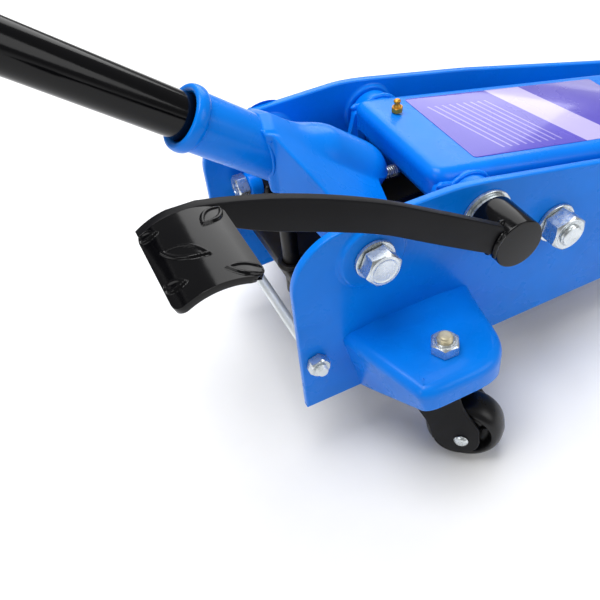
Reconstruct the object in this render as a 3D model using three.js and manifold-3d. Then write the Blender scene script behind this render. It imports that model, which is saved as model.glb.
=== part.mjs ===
// Hydraulic trolley jack with a foot pedal: welded side plates, handle yoke, lift arm, ram and casters.
// Millimetres, +X towards the saddle, +Y to the left, +Z up. Heights below are taken from the side plates'
// lower edge and lengths from their rear edge; the finished group is moved to the floor at the end.
import * as THREE from "three";
import { mergeVertices } from "three/addons/utils/BufferGeometryUtils.js";
import Module from "manifold-3d";

const wasm = await Module();
wasm.setup();

// ---------- driving dimensions ----------
const GAP = 0.3; // assembly gap between neighbouring pieces
const FLOOR = -39; // floor below the plates' lower edge

const PLATE_T = 6; // side plate thickness
const PLATE_OUT = 78.5; // centre plane to a plate's outer face
const PLATE_IN = PLATE_OUT - PLATE_T;
const PLATE_H = 141.5; // plate height at the rear
const REAR_R = 37; // rounded rear upper corner
const FRONT_X = 590; // plates' front end
const FRONT_H = 62; // plate height at the front

const YOKE = { x: 53, z: 116 }; // handle yoke pivot
const YOKE_BOLT_R = 8;
const BOSS_R = 21; // raised boss round the yoke bolt
const BOSS_T = 3;

const PIVOT = { x: 134.5, z: 113 }; // lift arm and pedal axis
const SHAFT_R = 11;
const ANCHOR = { x: 193.5, z: 81.5 }; // levelling rod anchor
const ANCHOR_R = 8;
const TIE = { x: 10, z: 43.5, r: 4 }; // rear tie rod

const AXLE = { x: 548, z: 3 }; // front axle
const AXLE_R = 9;
const WHEEL_R = AXLE.z - FLOOR;
const WHEEL_W = 34;

const BRACKET_Z = 57; // top face of a caster bracket
const BRACKET_OUT = 68.5; // how far it reaches out from the plate
const BRACKET_T = 4;
const STEM = { x: 80, y: PLATE_OUT + 42 }; // caster swivel axis
const TRAIL = 17; // swivel axis to wheel axle
const TRAIL_DIR = [0.729, 0.684]; // where the casters stand, outward and forward
const CASTER_R = 26.5;
const CASTER_W = 25;
const CASTER_Z = FLOOR + CASTER_R;

const HANDLE_DEG = 39.7; // handle above the horizontal
const TUBE_R = 13.8; // handle tube
const SOCKET_R = 17.8; // yoke socket outside
const SOCKET_OFF = 13.2; // socket axis above the yoke pivot
const SOCKET_TOP = 112; // along the axis from the pivot, up to the collar
const HANDLE_L = 1060; // pivot to the end of the grip

const PEDAL_Y = 33; // pedal bar outer face, out from the plate
const PEDAL_T = 6;
const PEDAL_BOSS_R = 16.5;
const PAD_W = 53; // pad width across
const PAD_T = 3.5;

const ARM_W = 56; // lift arm half width outside
const ARM_T = 5;
const ARM_TOP = 136; // top of the arm at its rear end
const ARM_SLOPE = -0.2228; // fall of its top towards the saddle
const NOSE_R = 17; // pivot tube outside
const CARRY = { x: 520, z: 68 }; // arm's front pivot, under the saddle
const LUG = { x: 104, z: 48, r: 13 }; // lug where the ram pulls
const RAM_Z = 44; // ram axis height
const RAM_END = 236; // front end of the cylinder
const CYL_R = 27;
const ROD_R = 13;
const CROSS_X = 268; // crosshead pin
const LINK_T = 5;
const SADDLE_R = 50;
const SADDLE_Z = 112; // saddle rim height

// Sizes that follow from those above.
const SLOPE_X = 430; // where the plates' upper edge levels out
const YOKE_HEAD = PLATE_OUT + BOSS_T + GAP; // bolt hardware stands on the boss
const FORK_TOP = BRACKET_Z - BRACKET_T - GAP - 5; // crown of a caster fork
const FORK_IN = CASTER_W / 2 + 1; // inside of its legs, from the wheel's middle
const FORK_T = 3;
const YOKE_EAR_OUT = PLATE_IN - 3; // outside of the yoke's ears
const YOKE_EAR_IN = YOKE_EAR_OUT - 6;
const BORE_END = 20; // how deep the handle reaches, above the pivot
const SWING_R = 52.5; // yoke kept inside this radius in front of its pivot
// Bent hood: rise over the socket, fall of its flanks, and the bend that flares from (near) out to (far).
const ROOF = { rise: 4, fall: 0.312, flat: 14, at: 38.6, out: 56 };
const HUMP = { r: 22.9, over: 6.1, back: 10, end: 46 }; // round bulge over the hood's front
const JOIN = BORE_END + 1.3 + 540; // where the handle's two halves meet
const PEDAL_OUT = PLATE_OUT + PEDAL_Y; // pedal bar's outer face from the centre plane
const PAD_R = 36; // arch of the pedal pad, and its centre
const PAD_AT = { x: -59.5, z: 218.3 - PAD_R };
const ARM_FRONT = CARRY.x + 14; // front end of the lift arm
const LINK_IN = ARM_W - ARM_T - GAP - 1 - LINK_T; // inner face of a ram link
const BLOCK = { x0: 20, x1: 84, y: PLATE_IN - 2, z0: 6, z1: 60 }; // hydraulic block
const PLUNGE = { x: 31, r: 6, top: 112 }; // pump plunger under the yoke
const VALVE = { x: 36, y: PLATE_IN - 11, z: 91, r: 9.5 }; // valve screwed to the block, beside the left plate
const ROD_Y = ARM_W + 8.5; // rod centre, between arm and plate
const SADDLE_X = CARRY.x + 30;

// ---------- materials ----------
function paint(color, roughness, metalness) {
  return new THREE.MeshStandardMaterial({ color, roughness, metalness });
}

const blue = () => paint(0x0a6adc, 0.35, 0.0);
const black = () => paint(0x2d2d30, 0.6, 0.0);
const gloss = () => paint(0x0b0b0e, 0.15, 0.0);
const zinc = () => paint(0xc4cccc, 0.3, 1.0);
const brass = () => paint(0xb08a30, 0.3, 1.0);
const rubber = () => paint(0x1a1a1a, 0.9, 0.0);
const nylon = () => paint(0x151517, 0.4, 0.0);
const violet = () => paint(0x6a60c8, 0.4, 0.0);

// ---------- solids ----------
function solid(geometry) {
  const g = geometry.clone();
  g.deleteAttribute("normal");
  g.deleteAttribute("uv");
  const m = mergeVertices(g, 1e-4);
  return new wasm.Manifold(
    new wasm.Mesh({
      numProp: 3,
      vertProperties: new Float32Array(m.attributes.position.array),
      triVerts: new Uint32Array(m.index.array),
    }),
  );
}

function geometryOf(body) {
  const m = body.getMesh();
  const g = new THREE.BufferGeometry();
  g.setAttribute("position", new THREE.BufferAttribute(new Float32Array(m.vertProperties), 3));
  g.setIndex(new THREE.BufferAttribute(new Uint32Array(m.triVerts), 1));
  const flat = g.toNonIndexed();
  flat.computeVertexNormals();
  return flat;
}

const polygon = (points) => new THREE.Shape(points.map(([a, b]) => new THREE.Vector2(a, b)));

// Outline in x and z, filled from y0 to y1.
function slabY(shape, y0, y1) {
  const g = new THREE.ExtrudeGeometry(shape, { depth: y1 - y0, bevelEnabled: false, curveSegments: 6 });
  g.rotateX(Math.PI / 2);
  g.translate(0, y1, 0);
  return solid(g);
}

// Outline in y and z, filled from x0 to x1.
function slabX(shape, x0, x1) {
  const g = new THREE.ExtrudeGeometry(shape, { depth: x1 - x0, bevelEnabled: false, curveSegments: 6 });
  g.rotateX(Math.PI / 2);
  g.rotateZ(Math.PI / 2);
  g.translate(x0, 0, 0);
  return solid(g);
}

// Outline in x and y, filled from z0 to z1.
function slabZ(shape, z0, z1) {
  const g = new THREE.ExtrudeGeometry(shape, { depth: z1 - z0, bevelEnabled: false, curveSegments: 6 });
  g.translate(0, 0, z0);
  return solid(g);
}

function block(x0, x1, y0, y1, z0, z1) {
  const g = new THREE.BoxGeometry(x1 - x0, y1 - y0, z1 - z0);
  g.translate((x0 + x1) / 2, (y0 + y1) / 2, (z0 + z1) / 2);
  return solid(g);
}

// Places a shape made along +Y so that it starts at a point and runs along a direction.
function along(g, from, dir) {
  const goal = new THREE.Vector3(...dir).normalize();
  const q = new THREE.Quaternion().setFromUnitVectors(new THREE.Vector3(0, 1, 0), goal);
  g.applyQuaternion(q);
  g.translate(...from);
  return solid(g);
}

// Turned shape: [radius, distance] pairs from axis to axis.
function turned(pairs, from, dir, sides = 20) {
  const line = pairs.map(([r, d]) => new THREE.Vector2(r, d));
  return along(new THREE.LatheGeometry(line, sides), from, dir);
}

function round(r, length, from, dir, sides = 20) {
  return turned([[0, 0], [r, 0], [r, length], [0, length]], from, dir, sides);
}

function hexagon(flats, height, from, dir, turn = 0) {
  const g = new THREE.CylinderGeometry(flats / Math.sqrt(3), flats / Math.sqrt(3), height, 6);
  g.rotateY(turn);
  g.translate(0, height / 2, 0);
  return along(g, from, dir);
}

// Round bar across the jack, from y0 to y1.
const bar = (at, r, y0, y1, sides = 20) => round(r, y1 - y0, [at.x, y0, at.z], [0, 1, 0], sides);

const group = new THREE.Group();
function add(name, body, material) {
  const mesh = new THREE.Mesh(geometryOf(body), material);
  mesh.name = name;
  group.add(mesh);
}

const SIDES = [["right", -1], ["left", 1]];
const flip = (body, s) => (s < 0 ? body : body.mirror([0, 1, 0]));

// ---------- chassis ----------

function plateOutline() {
  const s = new THREE.Shape();
  s.moveTo(0, 0);
  s.lineTo(300, 0);
  s.lineTo(500, AXLE.z - 20);
  s.lineTo(FRONT_X - 26, AXLE.z - 20);
  s.absarc(FRONT_X - 26, AXLE.z + 6, 26, -Math.PI / 2, 0, false);
  s.lineTo(FRONT_X, FRONT_H - 26);
  s.absarc(FRONT_X - 26, FRONT_H - 26, 26, 0, Math.PI / 2, false);
  s.lineTo(SLOPE_X + 12, FRONT_H);
  s.lineTo(SLOPE_X - 30, 71.6);
  s.lineTo(224, 117.5);
  s.lineTo(130, 138.4);
  s.lineTo(116, 140.8);
  s.lineTo(102, PLATE_H);
  s.lineTo(REAR_R, PLATE_H);
  s.absarc(REAR_R, PLATE_H - REAR_R, REAR_R, Math.PI / 2, Math.PI, false);
  s.closePath();
  return s;
}

function sidePlate(s) {
  const face = slabY(plateOutline(), -PLATE_OUT, -PLATE_IN);
  const boss = bar(YOKE, BOSS_R, -PLATE_OUT - BOSS_T, -PLATE_OUT + 1, 28);
  const y0 = -PLATE_OUT - 20;
  const y1 = -PLATE_IN + 5;
  return flip(
    face
      .add(boss)
      .subtract(bar(YOKE, YOKE_BOLT_R + GAP, y0, y1))
      .subtract(bar(PIVOT, SHAFT_R + GAP, y0, y1))
      .subtract(bar(ANCHOR, ANCHOR_R + GAP, y0, y1))
      .subtract(bar(TIE, TIE.r + GAP, y0, y1, 16))
      .subtract(bar(AXLE, AXLE_R + GAP, y0, y1)),
    s,
  );
}

// Stamped shelf that carries a caster: rounded top, skirt that runs deeper towards the plate.
function bracketShape(inset) {
  const s = new THREE.Shape();
  const r = 12 - inset / 2;
  const out = -(BRACKET_OUT - inset);
  s.moveTo(30 + inset, 4);
  s.lineTo(46.5 + inset, out + r);
  s.quadraticCurveTo(47 + inset, out, 60, out);
  s.lineTo(97, out);
  s.quadraticCurveTo(109 - inset, out, 111 - inset, out + r);
  s.lineTo(126 - inset, 4);
  s.closePath();
  return s;
}

function casterBracket(s) {
  const bevel = { bevelEnabled: true, bevelSize: 7, bevelThickness: 7, bevelOffset: -7, bevelSegments: 3 };
  const sweep = { depth: BRACKET_Z + 20, curveSegments: 6, ...bevel };
  const skin = new THREE.ExtrudeGeometry(bracketShape(0), sweep);
  skin.translate(0, 0, -27);
  const inner = slabZ(bracketShape(BRACKET_T), -60, BRACKET_Z - BRACKET_T);
  const low = polygon([[10, 0], [0, 0], [-BRACKET_OUT, 40], [-90, 40], [-90, -70], [10, -70]]);
  const lean = (dx) => {
    const rear = [[30 + dx, 70], [30 + dx, 52], [44 + dx, -10], [44 + dx, -80]];
    return slabY(polygon([[-40, 70], ...rear, [-40, -80]]), -90, 20);
  };
  const body = solid(skin)
    .subtract(lean(0))
    .subtract(inner.subtract(lean(BRACKET_T)))
    .subtract(slabX(low, 0, 200))
    .subtract(block(0, 200, -GAP, 40, -60, 80));
  const placed = body.translate([0, -PLATE_OUT, 0]);
  return flip(placed.subtract(round(5 + GAP, 40, [STEM.x, -STEM.y, 40], [0, 0, 1], 20)), s);
}

function tieRod() {
  return bar(TIE, TIE.r, -PLATE_OUT - 11, PLATE_OUT + 11, 16);
}

function tieNut(s) {
  const nut = hexagon(13.5, 7, [TIE.x, -PLATE_OUT - GAP - 7, TIE.z], [0, 1, 0], 0.3);
  return flip(nut.subtract(bar(TIE, TIE.r + GAP, -120, 0, 16)), s);
}

function yokeWasher(s) {
  const ring = bar(YOKE, 15, -YOKE_HEAD - 3, -YOKE_HEAD, 32);
  return flip(ring.subtract(bar(YOKE, YOKE_BOLT_R + GAP, -120, 0)), s);
}

function yokeBolt(s) {
  const face = YOKE_HEAD + 3 + GAP;
  const head = hexagon(24, 10, [YOKE.x, -face - 10, YOKE.z], [0, 1, 0], 0.15);
  return flip(head.add(bar(YOKE, YOKE_BOLT_R, -face - 1, -YOKE_EAR_IN - 2)), s);
}

function armShaft() {
  return bar(PIVOT, SHAFT_R, -PLATE_OUT - PEDAL_Y + 4, PLATE_OUT + 22);
}

function shaftNut() {
  const y = PLATE_OUT + GAP;
  const washer = bar(PIVOT, 18, y, y + 4);
  const nut = hexagon(30, 12, [PIVOT.x, y + 3, PIVOT.z], [0, 1, 0], 0.2);
  return washer.add(nut).subtract(bar(PIVOT, SHAFT_R + GAP, 0, 200));
}

function pedalSpacer() {
  const ring = bar(PIVOT, 18, -PLATE_OUT - GAP - 5, -PLATE_OUT - GAP, 32);
  return ring.subtract(bar(PIVOT, SHAFT_R + GAP, -150, 0));
}

function anchorWasher(s) {
  const ring = bar(ANCHOR, 14.5, -PLATE_OUT - GAP - 2.5, -PLATE_OUT - GAP, 28);
  return flip(ring.subtract(bar(ANCHOR, ANCHOR_R + GAP, -150, 0)), s);
}

function anchorNut(s) {
  const y = PLATE_OUT + 2.5 + 2 * GAP;
  const nut = hexagon(24, 13, [ANCHOR.x, -y - 13, ANCHOR.z], [0, 1, 0], 0.35);
  return flip(nut.subtract(bar(ANCHOR, ANCHOR_R + GAP, -150, 0)), s);
}

// Its round head stands inside the plate and carries the levelling rod's eye on its shank.
function anchorBolt(s) {
  const shank = bar(ANCHOR, ANCHOR_R, -PLATE_OUT - 19, -ARM_W - 3);
  return flip(shank.add(bar(ANCHOR, 11, -ARM_W - 5, -ARM_W - 1)), s);
}

function frontAxle() {
  return bar(AXLE, AXLE_R, -PLATE_OUT - WHEEL_W - 12, PLATE_OUT + WHEEL_W + 12);
}

function axleNut(s) {
  const y = PLATE_OUT + WHEEL_W + 2 * GAP + 1;
  const nut = hexagon(27, 9, [AXLE.x, -y - 9, AXLE.z], [0, 1, 0]);
  return flip(nut.subtract(bar(AXLE, AXLE_R + GAP, -200, 0)), s);
}

function frontWheel(s) {
  const a = PLATE_OUT + 1;
  const w = WHEEL_W;
  const r = AXLE_R + GAP;
  const pairs = [[r, 0], [WHEEL_R - 12, 0], [WHEEL_R - 10, 3], [WHEEL_R - 4, 3], [WHEEL_R, 6]];
  const back = [[WHEEL_R, w - 6], [WHEEL_R - 4, w - 3], [WHEEL_R - 10, w - 3], [WHEEL_R - 12, w], [r, w]];
  const ring = [...pairs, ...back, [r, 0]];
  const g = new THREE.LatheGeometry(ring.map(([p, q]) => new THREE.Vector2(p, q)), 32);
  return flip(along(g, [AXLE.x, -a - w, AXLE.z], [0, 1, 0]), s);
}

function crossTube() {
  const at = { x: 468, z: 12 };
  return bar(at, 11, -PLATE_IN + GAP, PLATE_IN - GAP);
}

// ---------- casters ----------
const trail = (d) => [STEM.x + TRAIL_DIR[0] * d, -STEM.y - TRAIL_DIR[1] * d];
const CASTER_SIDE = [-TRAIL_DIR[1], -TRAIL_DIR[0]]; // axle direction, pointing outward

function casterStem(s) {
  const at = [STEM.x, -STEM.y];
  const top = BRACKET_Z + GAP;
  const nut = hexagon(17, 8, [...at, top], [0, 0, 1], 0.5);
  const bolt = round(5, BRACKET_Z + 12 - 24, [...at, 24], [0, 0, 1], 20);
  return flip(nut.add(bolt), s);
}

// A piece of the caster drawn with its trail along +X and its axle along Y.
function turnCaster(body, s) {
  const angle = (Math.atan2(-TRAIL_DIR[1], TRAIL_DIR[0]) * 180) / Math.PI;
  return flip(body.rotate([0, 0, angle]).translate([STEM.x, -STEM.y, 0]), s);
}

function casterFork(s) {
  const w = FORK_IN + FORK_T;
  const at = { x: TRAIL, z: CASTER_Z };
  const cheek = new THREE.Shape();
  cheek.moveTo(-17, 37);
  cheek.lineTo(-17, 14);
  cheek.quadraticCurveTo(-5, -2, at.x - 19, at.z - 4);
  cheek.absarc(at.x - 3.5, at.z, 15.5, Math.PI + 0.25, 2 * Math.PI, false);
  cheek.lineTo(17, 20);
  cheek.lineTo(16, 37);
  cheek.closePath();
  const neck = polygon([[-10, FORK_TOP], [-10, 30], [10, 30], [10, FORK_TOP]]);
  const body = slabY(cheek, -w, w)
    .add(slabY(neck, -w, w))
    .subtract(block(-30, 60, -FORK_IN, FORK_IN, -60, FORK_TOP - 4))
    .add(round(15, 5.5, [0, 0, FORK_TOP - 0.5], [0, 0, 1], 28))
    .subtract(round(5 + GAP, 60, [0, 0, 10], [0, 0, 1], 20))
    .subtract(bar(at, 4 + GAP, -50, 50, 20));
  return turnCaster(body, s);
}

function casterRivet(s) {
  const w = FORK_IN + FORK_T + GAP;
  const at = { x: TRAIL, z: CASTER_Z };
  const half = [[4, w], [4.8, w], [4.8, w + 1], [3, w + 2.3], [0, w + 2.5]];
  const mirrored = half.map(([r, d]) => [r, -d]).reverse();
  return turnCaster(turned([...mirrored, ...half], [at.x, 0, at.z], [0, 1, 0], 20), s);
}

function casterWheel(s) {
  const r = CASTER_R;
  const h = CASTER_W / 2;
  const half = [[r - 7, h - 0.5], [r - 2, h - 2.5], [r, 0]];
  const web = [[7, h], [9, h], [10, 4], [r - 9, 4]];
  const upper = [...web, ...half];
  const lower = upper.slice(0, -1).reverse().map(([p, q]) => [p, -q]);
  const hole = 4 + GAP;
  const ring = [[hole, -h], ...lower.reverse(), ...upper.slice().reverse(), [hole, h], [hole, -h]];
  const g = new THREE.LatheGeometry(ring.map(([p, q]) => new THREE.Vector2(p, q)), 32);
  return turnCaster(along(g, [TRAIL, 0, CASTER_Z], [0, 1, 0]), s);
}

// ---------- handle and yoke ----------
const HA = (HANDLE_DEG * Math.PI) / 180;
const UP = [-Math.cos(HA), 0, Math.sin(HA)]; // along the handle, away from the jack
const OVER = [Math.sin(HA), 0, Math.cos(HA)]; // square to it, upward
const onAxis = (d, o = 0) => [
  YOKE.x + OVER[0] * (SOCKET_OFF + o) + UP[0] * d,
  0,
  YOKE.z + OVER[2] * (SOCKET_OFF + o) + UP[2] * d,
];

// The yoke's front is rounded about its pivot so that it swings clear of the lift arm.

// Cross-section square to the handle, filled along it from d0 down to d1.
function slabAxis(shape, d0, d1) {
  const g = new THREE.ExtrudeGeometry(shape, { depth: d0 - d1, bevelEnabled: false });
  const basis = new THREE.Matrix4().makeBasis(
    new THREE.Vector3(0, 1, 0),
    new THREE.Vector3(...OVER),
    new THREE.Vector3(...UP).negate(),
  );
  g.applyMatrix4(basis);
  g.translate(...onAxis(d0));
  return solid(g);
}

function hoodPlan(inset) {
  const { flat, at, out } = ROOF;
  const ear = YOKE_EAR_OUT - inset;
  const half = [[at - 19.4 + inset, flat], [at + inset, out], [47 + inset, ear], [130, ear]];
  return polygon([...half, ...half.slice().reverse().map(([x, y]) => [x, -y])]);
}

// Socket tube with its rolled lip.
function yokeSocket() {
  const r = SOCKET_R;
  const t = SOCKET_TOP;
  const lip = [[r, t - 10], [r + 2, t - 8], [r + 2.4, t - 4], [r + 1.6, t], [0, t]];
  return turned([[0, -30], [r, -30], ...lip], onAxis(0), UP, 32);
}

function yokeHump() {
  const { r, over, back, end } = HUMP;
  const narrow = SOCKET_R + ROOF.rise - over;
  return turned([[0, -60], [r, -60], [r, back], [narrow, end], [0, end]], onAxis(0, over), UP, 36);
}

// Hood: gabled roof over a plan that flares, hollow underneath.
function yokeHood() {
  const roof = (drop) => {
    const top = SOCKET_R + ROOF.rise - drop;
    const low = top - ROOF.fall * 90;
    return polygon([[-90, low], [0, top], [90, low], [90, -90], [-90, -90]]);
  };
  const side = polygon([[0, 170], [14, 195], [88, 150], [88, 112], [68, 98], [44, 95], [30, 122], [17, 146]]);
  const outer = slabZ(hoodPlan(0), 60, 260)
    .intersect(slabAxis(roof(0), 110, -80))
    .intersect(slabY(side, -90, 90));
  const inner = slabZ(hoodPlan(5), 50, 270).intersect(slabAxis(roof(5), 110, -90));
  return outer.subtract(inner);
}

function yoke() {
  const reach = bar(YOKE, SWING_R, -100, 100, 48);
  const swing = reach.add(block(-120, YOKE.x + 10, -100, 100, YOKE.z + 8, 300));
  const bore = round(TUBE_R + GAP, 200, onAxis(BORE_END), UP, 32);
  const pin = bar(YOKE, YOKE_BOLT_R + GAP, -100, 100);
  return yokeHood().add(yokeHump()).add(yokeSocket()).intersect(swing).subtract(bore).subtract(pin);
}

function handleLower() {
  const outer = round(TUBE_R, 540, onAxis(BORE_END + GAP + 1), UP, 36);
  return outer.subtract(round(TUBE_R - 3, 600, onAxis(BORE_END - 9), UP, 32));
}

function handleUpper() {
  const r = TUBE_R - 3 - GAP;
  const grip = HANDLE_L - 130;
  const lower = [[0, JOIN - 90], [r, JOIN - 90], [r, JOIN + 2], [TUBE_R, JOIN + 2], [TUBE_R, grip]];
  const upper = [[TUBE_R - 3, grip], [TUBE_R - 3, HANDLE_L - 4], [0, HANDLE_L - 4]];
  const tube = turned([...lower, ...upper], onAxis(0), UP, 32);
  return tube.subtract(round(TUBE_R - 6, HANDLE_L - 10 - JOIN + 95, onAxis(JOIN - 95), UP, 24));
}

function handleGrip() {
  const a = HANDLE_L - 130 + GAP;
  const r = TUBE_R + 2.5;
  const skin = [[0, a], [r - 1.5, a], [r, a + 3], [r, HANDLE_L - 5], [r - 4.5, HANDLE_L], [0, HANDLE_L]];
  const outer = turned(skin, onAxis(0), UP, 32);
  return outer.subtract(round(TUBE_R - 3 + GAP, 126.5, onAxis(a - 0.5), UP, 32));
}

// ---------- foot pedal ----------

function pedalBoss() {
  const y1 = -PLATE_OUT - GAP - 5 - GAP;
  const body = bar(PIVOT, PEDAL_BOSS_R, -PEDAL_OUT - 2, y1, 36);
  return body.subtract(bar(PIVOT, SHAFT_R + GAP, -PEDAL_OUT + 4 - GAP, 0));
}

// Flat bar bent in one long curve; its end follows the pad's arch.
function pedalArm() {
  const along2 = (points, steps) =>
    new THREE.SplineCurve(points.map(([x, z]) => new THREE.Vector2(x, z))).getPoints(steps);
  const top = along2([[123, 130], [102.8, 143.2], [50, 176.5], [-11.2, 205.9], [-50, 217]], 14);
  const under = [[-48, 201], [-22.8, 190.2], [12.2, 174.7], [42.5, 160], [78.9, 135.8], [117.1, 111.4]];
  const low = along2(under, 14);
  const s = new THREE.Shape();
  s.setFromPoints(top);
  s.absarc(PAD_AT.x, PAD_AT.z, PAD_R - 0.5, 1.7, 2.25, false);
  s.absarc(PAD_AT.x, PAD_AT.z, PAD_R - 12, 2.1, 1.4, true);
  for (const p of [...low, new THREE.Vector2(134, 104)]) s.lineTo(p.x, p.y);
  return slabY(s, -PEDAL_OUT, -PEDAL_OUT + PEDAL_T).subtract(bar(PIVOT, PEDAL_BOSS_R + GAP, -200, 0, 36));
}

// Arched tread plate welded to the bar's outer face.

function pedalPad() {
  const { x, z } = PAD_AT;
  const sector = polygon([[x, z], [x - 44, z + 66], [x + 38, z + 66]]);
  const y1 = -PEDAL_OUT - GAP;
  const y0 = y1 - PAD_W;
  const arch = bar(PAD_AT, PAD_R, y0, y1, 64).subtract(bar(PAD_AT, PAD_R - PAD_T, y0 - 1, y1 + 1, 64));
  const plate = arch.intersect(slabY(sector, y0, y1));
  const corner = slabZ(roundedRect(-81, -38, y0, y1 + 20, 7), 150, 260);
  const rib = new THREE.SphereGeometry(1, 16, 8);
  rib.scale(5, 11, 2);
  rib.rotateZ(1.1);
  rib.translate(x, y0 + PAD_W / 2, PAD_R + z - 0.4);
  return plate.intersect(corner).add(solid(rib));
}

function roundedRect(x0, x1, y0, y1, r) {
  const s = new THREE.Shape();
  s.moveTo(x0 + r, y0);
  s.lineTo(x1 - r, y0);
  s.absarc(x1 - r, y0 + r, r, -Math.PI / 2, 0, false);
  s.lineTo(x1, y1 - r);
  s.absarc(x1 - r, y1 - r, r, 0, Math.PI / 2, false);
  s.lineTo(x0 + r, y1);
  s.absarc(x0 + r, y1 - r, r, Math.PI / 2, Math.PI, false);
  s.lineTo(x0, y0 + r);
  s.absarc(x0 + r, y0 + r, r, Math.PI, 1.5 * Math.PI, false);
  return s;
}

// ---------- lift arm ----------
const armTop = (x) => ARM_TOP + ARM_SLOPE * (x - 120);

// Side view of the arm: rolled rear edge, lug for the ram, nose round the front pivot.
function armWall() {
  const s = new THREE.Shape();
  const neck = CARRY.x - 62;
  s.moveTo(121, armTop(121));
  s.lineTo(115, 132.5);
  s.lineTo(111.5, 126);
  s.lineTo(LUG.x - LUG.r, LUG.z);
  s.absarc(LUG.x, LUG.z, LUG.r, Math.PI, 1.9 * Math.PI, false);
  s.lineTo(160, 84);
  s.lineTo(250, 62);
  s.lineTo(CARRY.x - 40, CARRY.z - 14);
  s.lineTo(CARRY.x, CARRY.z - 14);
  s.absarc(CARRY.x, CARRY.z, 14, -Math.PI / 2, 0, false);
  s.lineTo(ARM_FRONT, CARRY.z);
  s.lineTo(CARRY.x - 2, CARRY.z + 13);
  s.lineTo(neck, armTop(neck));
  s.closePath();
  return s;
}

function liftArm() {
  const inner = ARM_W - ARM_T;
  const end = CARRY.x - 70;
  const roof = armTop(end) - ARM_T;
  const ahead = CARRY.x + 40;
  const inside = polygon([[80, 20], [80, armTop(80) - ARM_T], [end, roof], [ahead, roof], [ahead, 20]]);
  const cavity = slabY(inside, -inner, inner);
  const slotFront = block(CARRY.x - 66, CARRY.x + 60, -inner, inner, 20, 140);
  const nose = bar(PIVOT, NOSE_R, -PLATE_IN + 2, PLATE_IN - 2, 40);
  const tang = bar(LUG, 7, LINK_IN + 1, ARM_W - 1, 24);
  return slabY(armWall(), -ARM_W, ARM_W)
    .subtract(cavity)
    .subtract(slotFront)
    .add(nose)
    .add(tang)
    .add(tang.mirror([0, 1, 0]))
    .subtract(bar(PIVOT, SHAFT_R + GAP, -100, 100))
    .subtract(bar(CARRY, 8 + GAP, -100, 100));
}

// Plain panel on the arm's top.
function armLabel() {
  const s = roundedRect(150, 330, -44, 44, 4);
  const g = new THREE.ExtrudeGeometry(s, { depth: 0.8, bevelEnabled: false, curveSegments: 4 });
  const tilt = Math.atan(-ARM_SLOPE);
  const body = solid(g).translate([-120, 0, 0]).rotate([0, (tilt * 180) / Math.PI, 0]);
  return body.translate([120 + GAP * Math.sin(tilt), 0, ARM_TOP + GAP]);
}

function greaseNipple() {
  const at = [133, 26, armTop(133) + GAP + 1];
  const profile = [[0, 0], [4.2, 0], [4.2, 2.5], [2.2, 3], [2.2, 5], [3.2, 6], [2.6, 8.5], [0, 9.5]];
  return turned(profile, at, [0, 0, 1], 16);
}

// ---------- hydraulics ----------

function pumpBlock() {
  const b = BLOCK;
  const body = block(b.x0, b.x1, -b.y, b.y, b.z0, b.z1);
  const tower = block(VALVE.x + GAP, VALVE.x + 16, VALVE.y - 11, VALVE.y + 10, b.z1 - 1, VALVE.z);
  const well = round(PLUNGE.r + GAP, 60, [PLUNGE.x, 0, 24], [0, 0, 1]);
  return body.add(tower).subtract(well);
}

function cylinder() {
  const x0 = BLOCK.x1 + GAP;
  const body = round(CYL_R, RAM_END - x0 - 14, [x0, 0, RAM_Z], [1, 0, 0], 40);
  const head = round(CYL_R + 3, 14, [RAM_END - 14, 0, RAM_Z], [1, 0, 0], 8);
  const well = round(ROD_R + GAP, RAM_END - x0 - 12, [x0 + 20, 0, RAM_Z], [1, 0, 0], 32);
  return body.add(head).subtract(well);
}

function plunger() {
  const h = PLUNGE.top - 32;
  const { r } = PLUNGE;
  const cap = [[r + 2, h - 16], [r + 2, h - 10], [r - 1, h - 8], [3, h], [0, h]];
  return turned([[0, 0], [r, 0], [r, h - 16], ...cap], [PLUNGE.x, 0, 32], [0, 0, 1]);
}

function valveBoss() {
  return round(VALVE.r, 10, [VALVE.x - 10, VALVE.y, VALVE.z], [1, 0, 0]);
}

function valvePlug() {
  return hexagon(18, 9, [VALVE.x - 19 - GAP, VALVE.y, VALVE.z], [1, 0, 0], 0.2);
}

function ramRod() {
  const x0 = BLOCK.x1 + 26;
  const rod = round(ROD_R, CROSS_X - x0, [x0, 0, RAM_Z], [1, 0, 0], 32);
  const head = block(CROSS_X - 16, CROSS_X + 14, -22, 22, RAM_Z - 20, RAM_Z + 20);
  const pin = bar({ x: CROSS_X, z: RAM_Z }, 9, -LINK_IN - LINK_T - 3, LINK_IN + LINK_T + 3, 28);
  return rod.add(head).add(pin);
}

// Side link with an upright slot where it takes the lift arm's lug pin.
function ramLink(s) {
  const l = new THREE.Shape();
  l.moveTo(LUG.x - 4, LUG.z - 23);
  l.lineTo(CROSS_X, RAM_Z - 15);
  l.absarc(CROSS_X, RAM_Z, 15, -Math.PI / 2, Math.PI / 2, false);
  l.lineTo(LUG.x + 14, LUG.z + 15);
  l.lineTo(LUG.x - 4, LUG.z + 15);
  l.absarc(LUG.x - 4, LUG.z + 4, 11, Math.PI / 2, Math.PI, false);
  l.lineTo(LUG.x - 15, LUG.z - 12);
  l.absarc(LUG.x - 4, LUG.z - 12, 11, Math.PI, 1.5 * Math.PI, false);
  const plate = slabY(l, -LINK_IN - LINK_T, -LINK_IN);
  const slot = block(LUG.x - 8.5, LUG.x + 8.5, -80, 0, LUG.z - 16, LUG.z + 11);
  const hole = bar({ x: CROSS_X, z: RAM_Z }, 9 + GAP, -80, 0);
  return flip(plate.subtract(slot).subtract(hole), s);
}

// ---------- levelling rods and saddle ----------
const V = { x: ANCHOR.x - PIVOT.x, z: ANCHOR.z - PIVOT.z };
const LOWER = { x: CARRY.x + V.x, z: CARRY.z + V.z };

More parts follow.
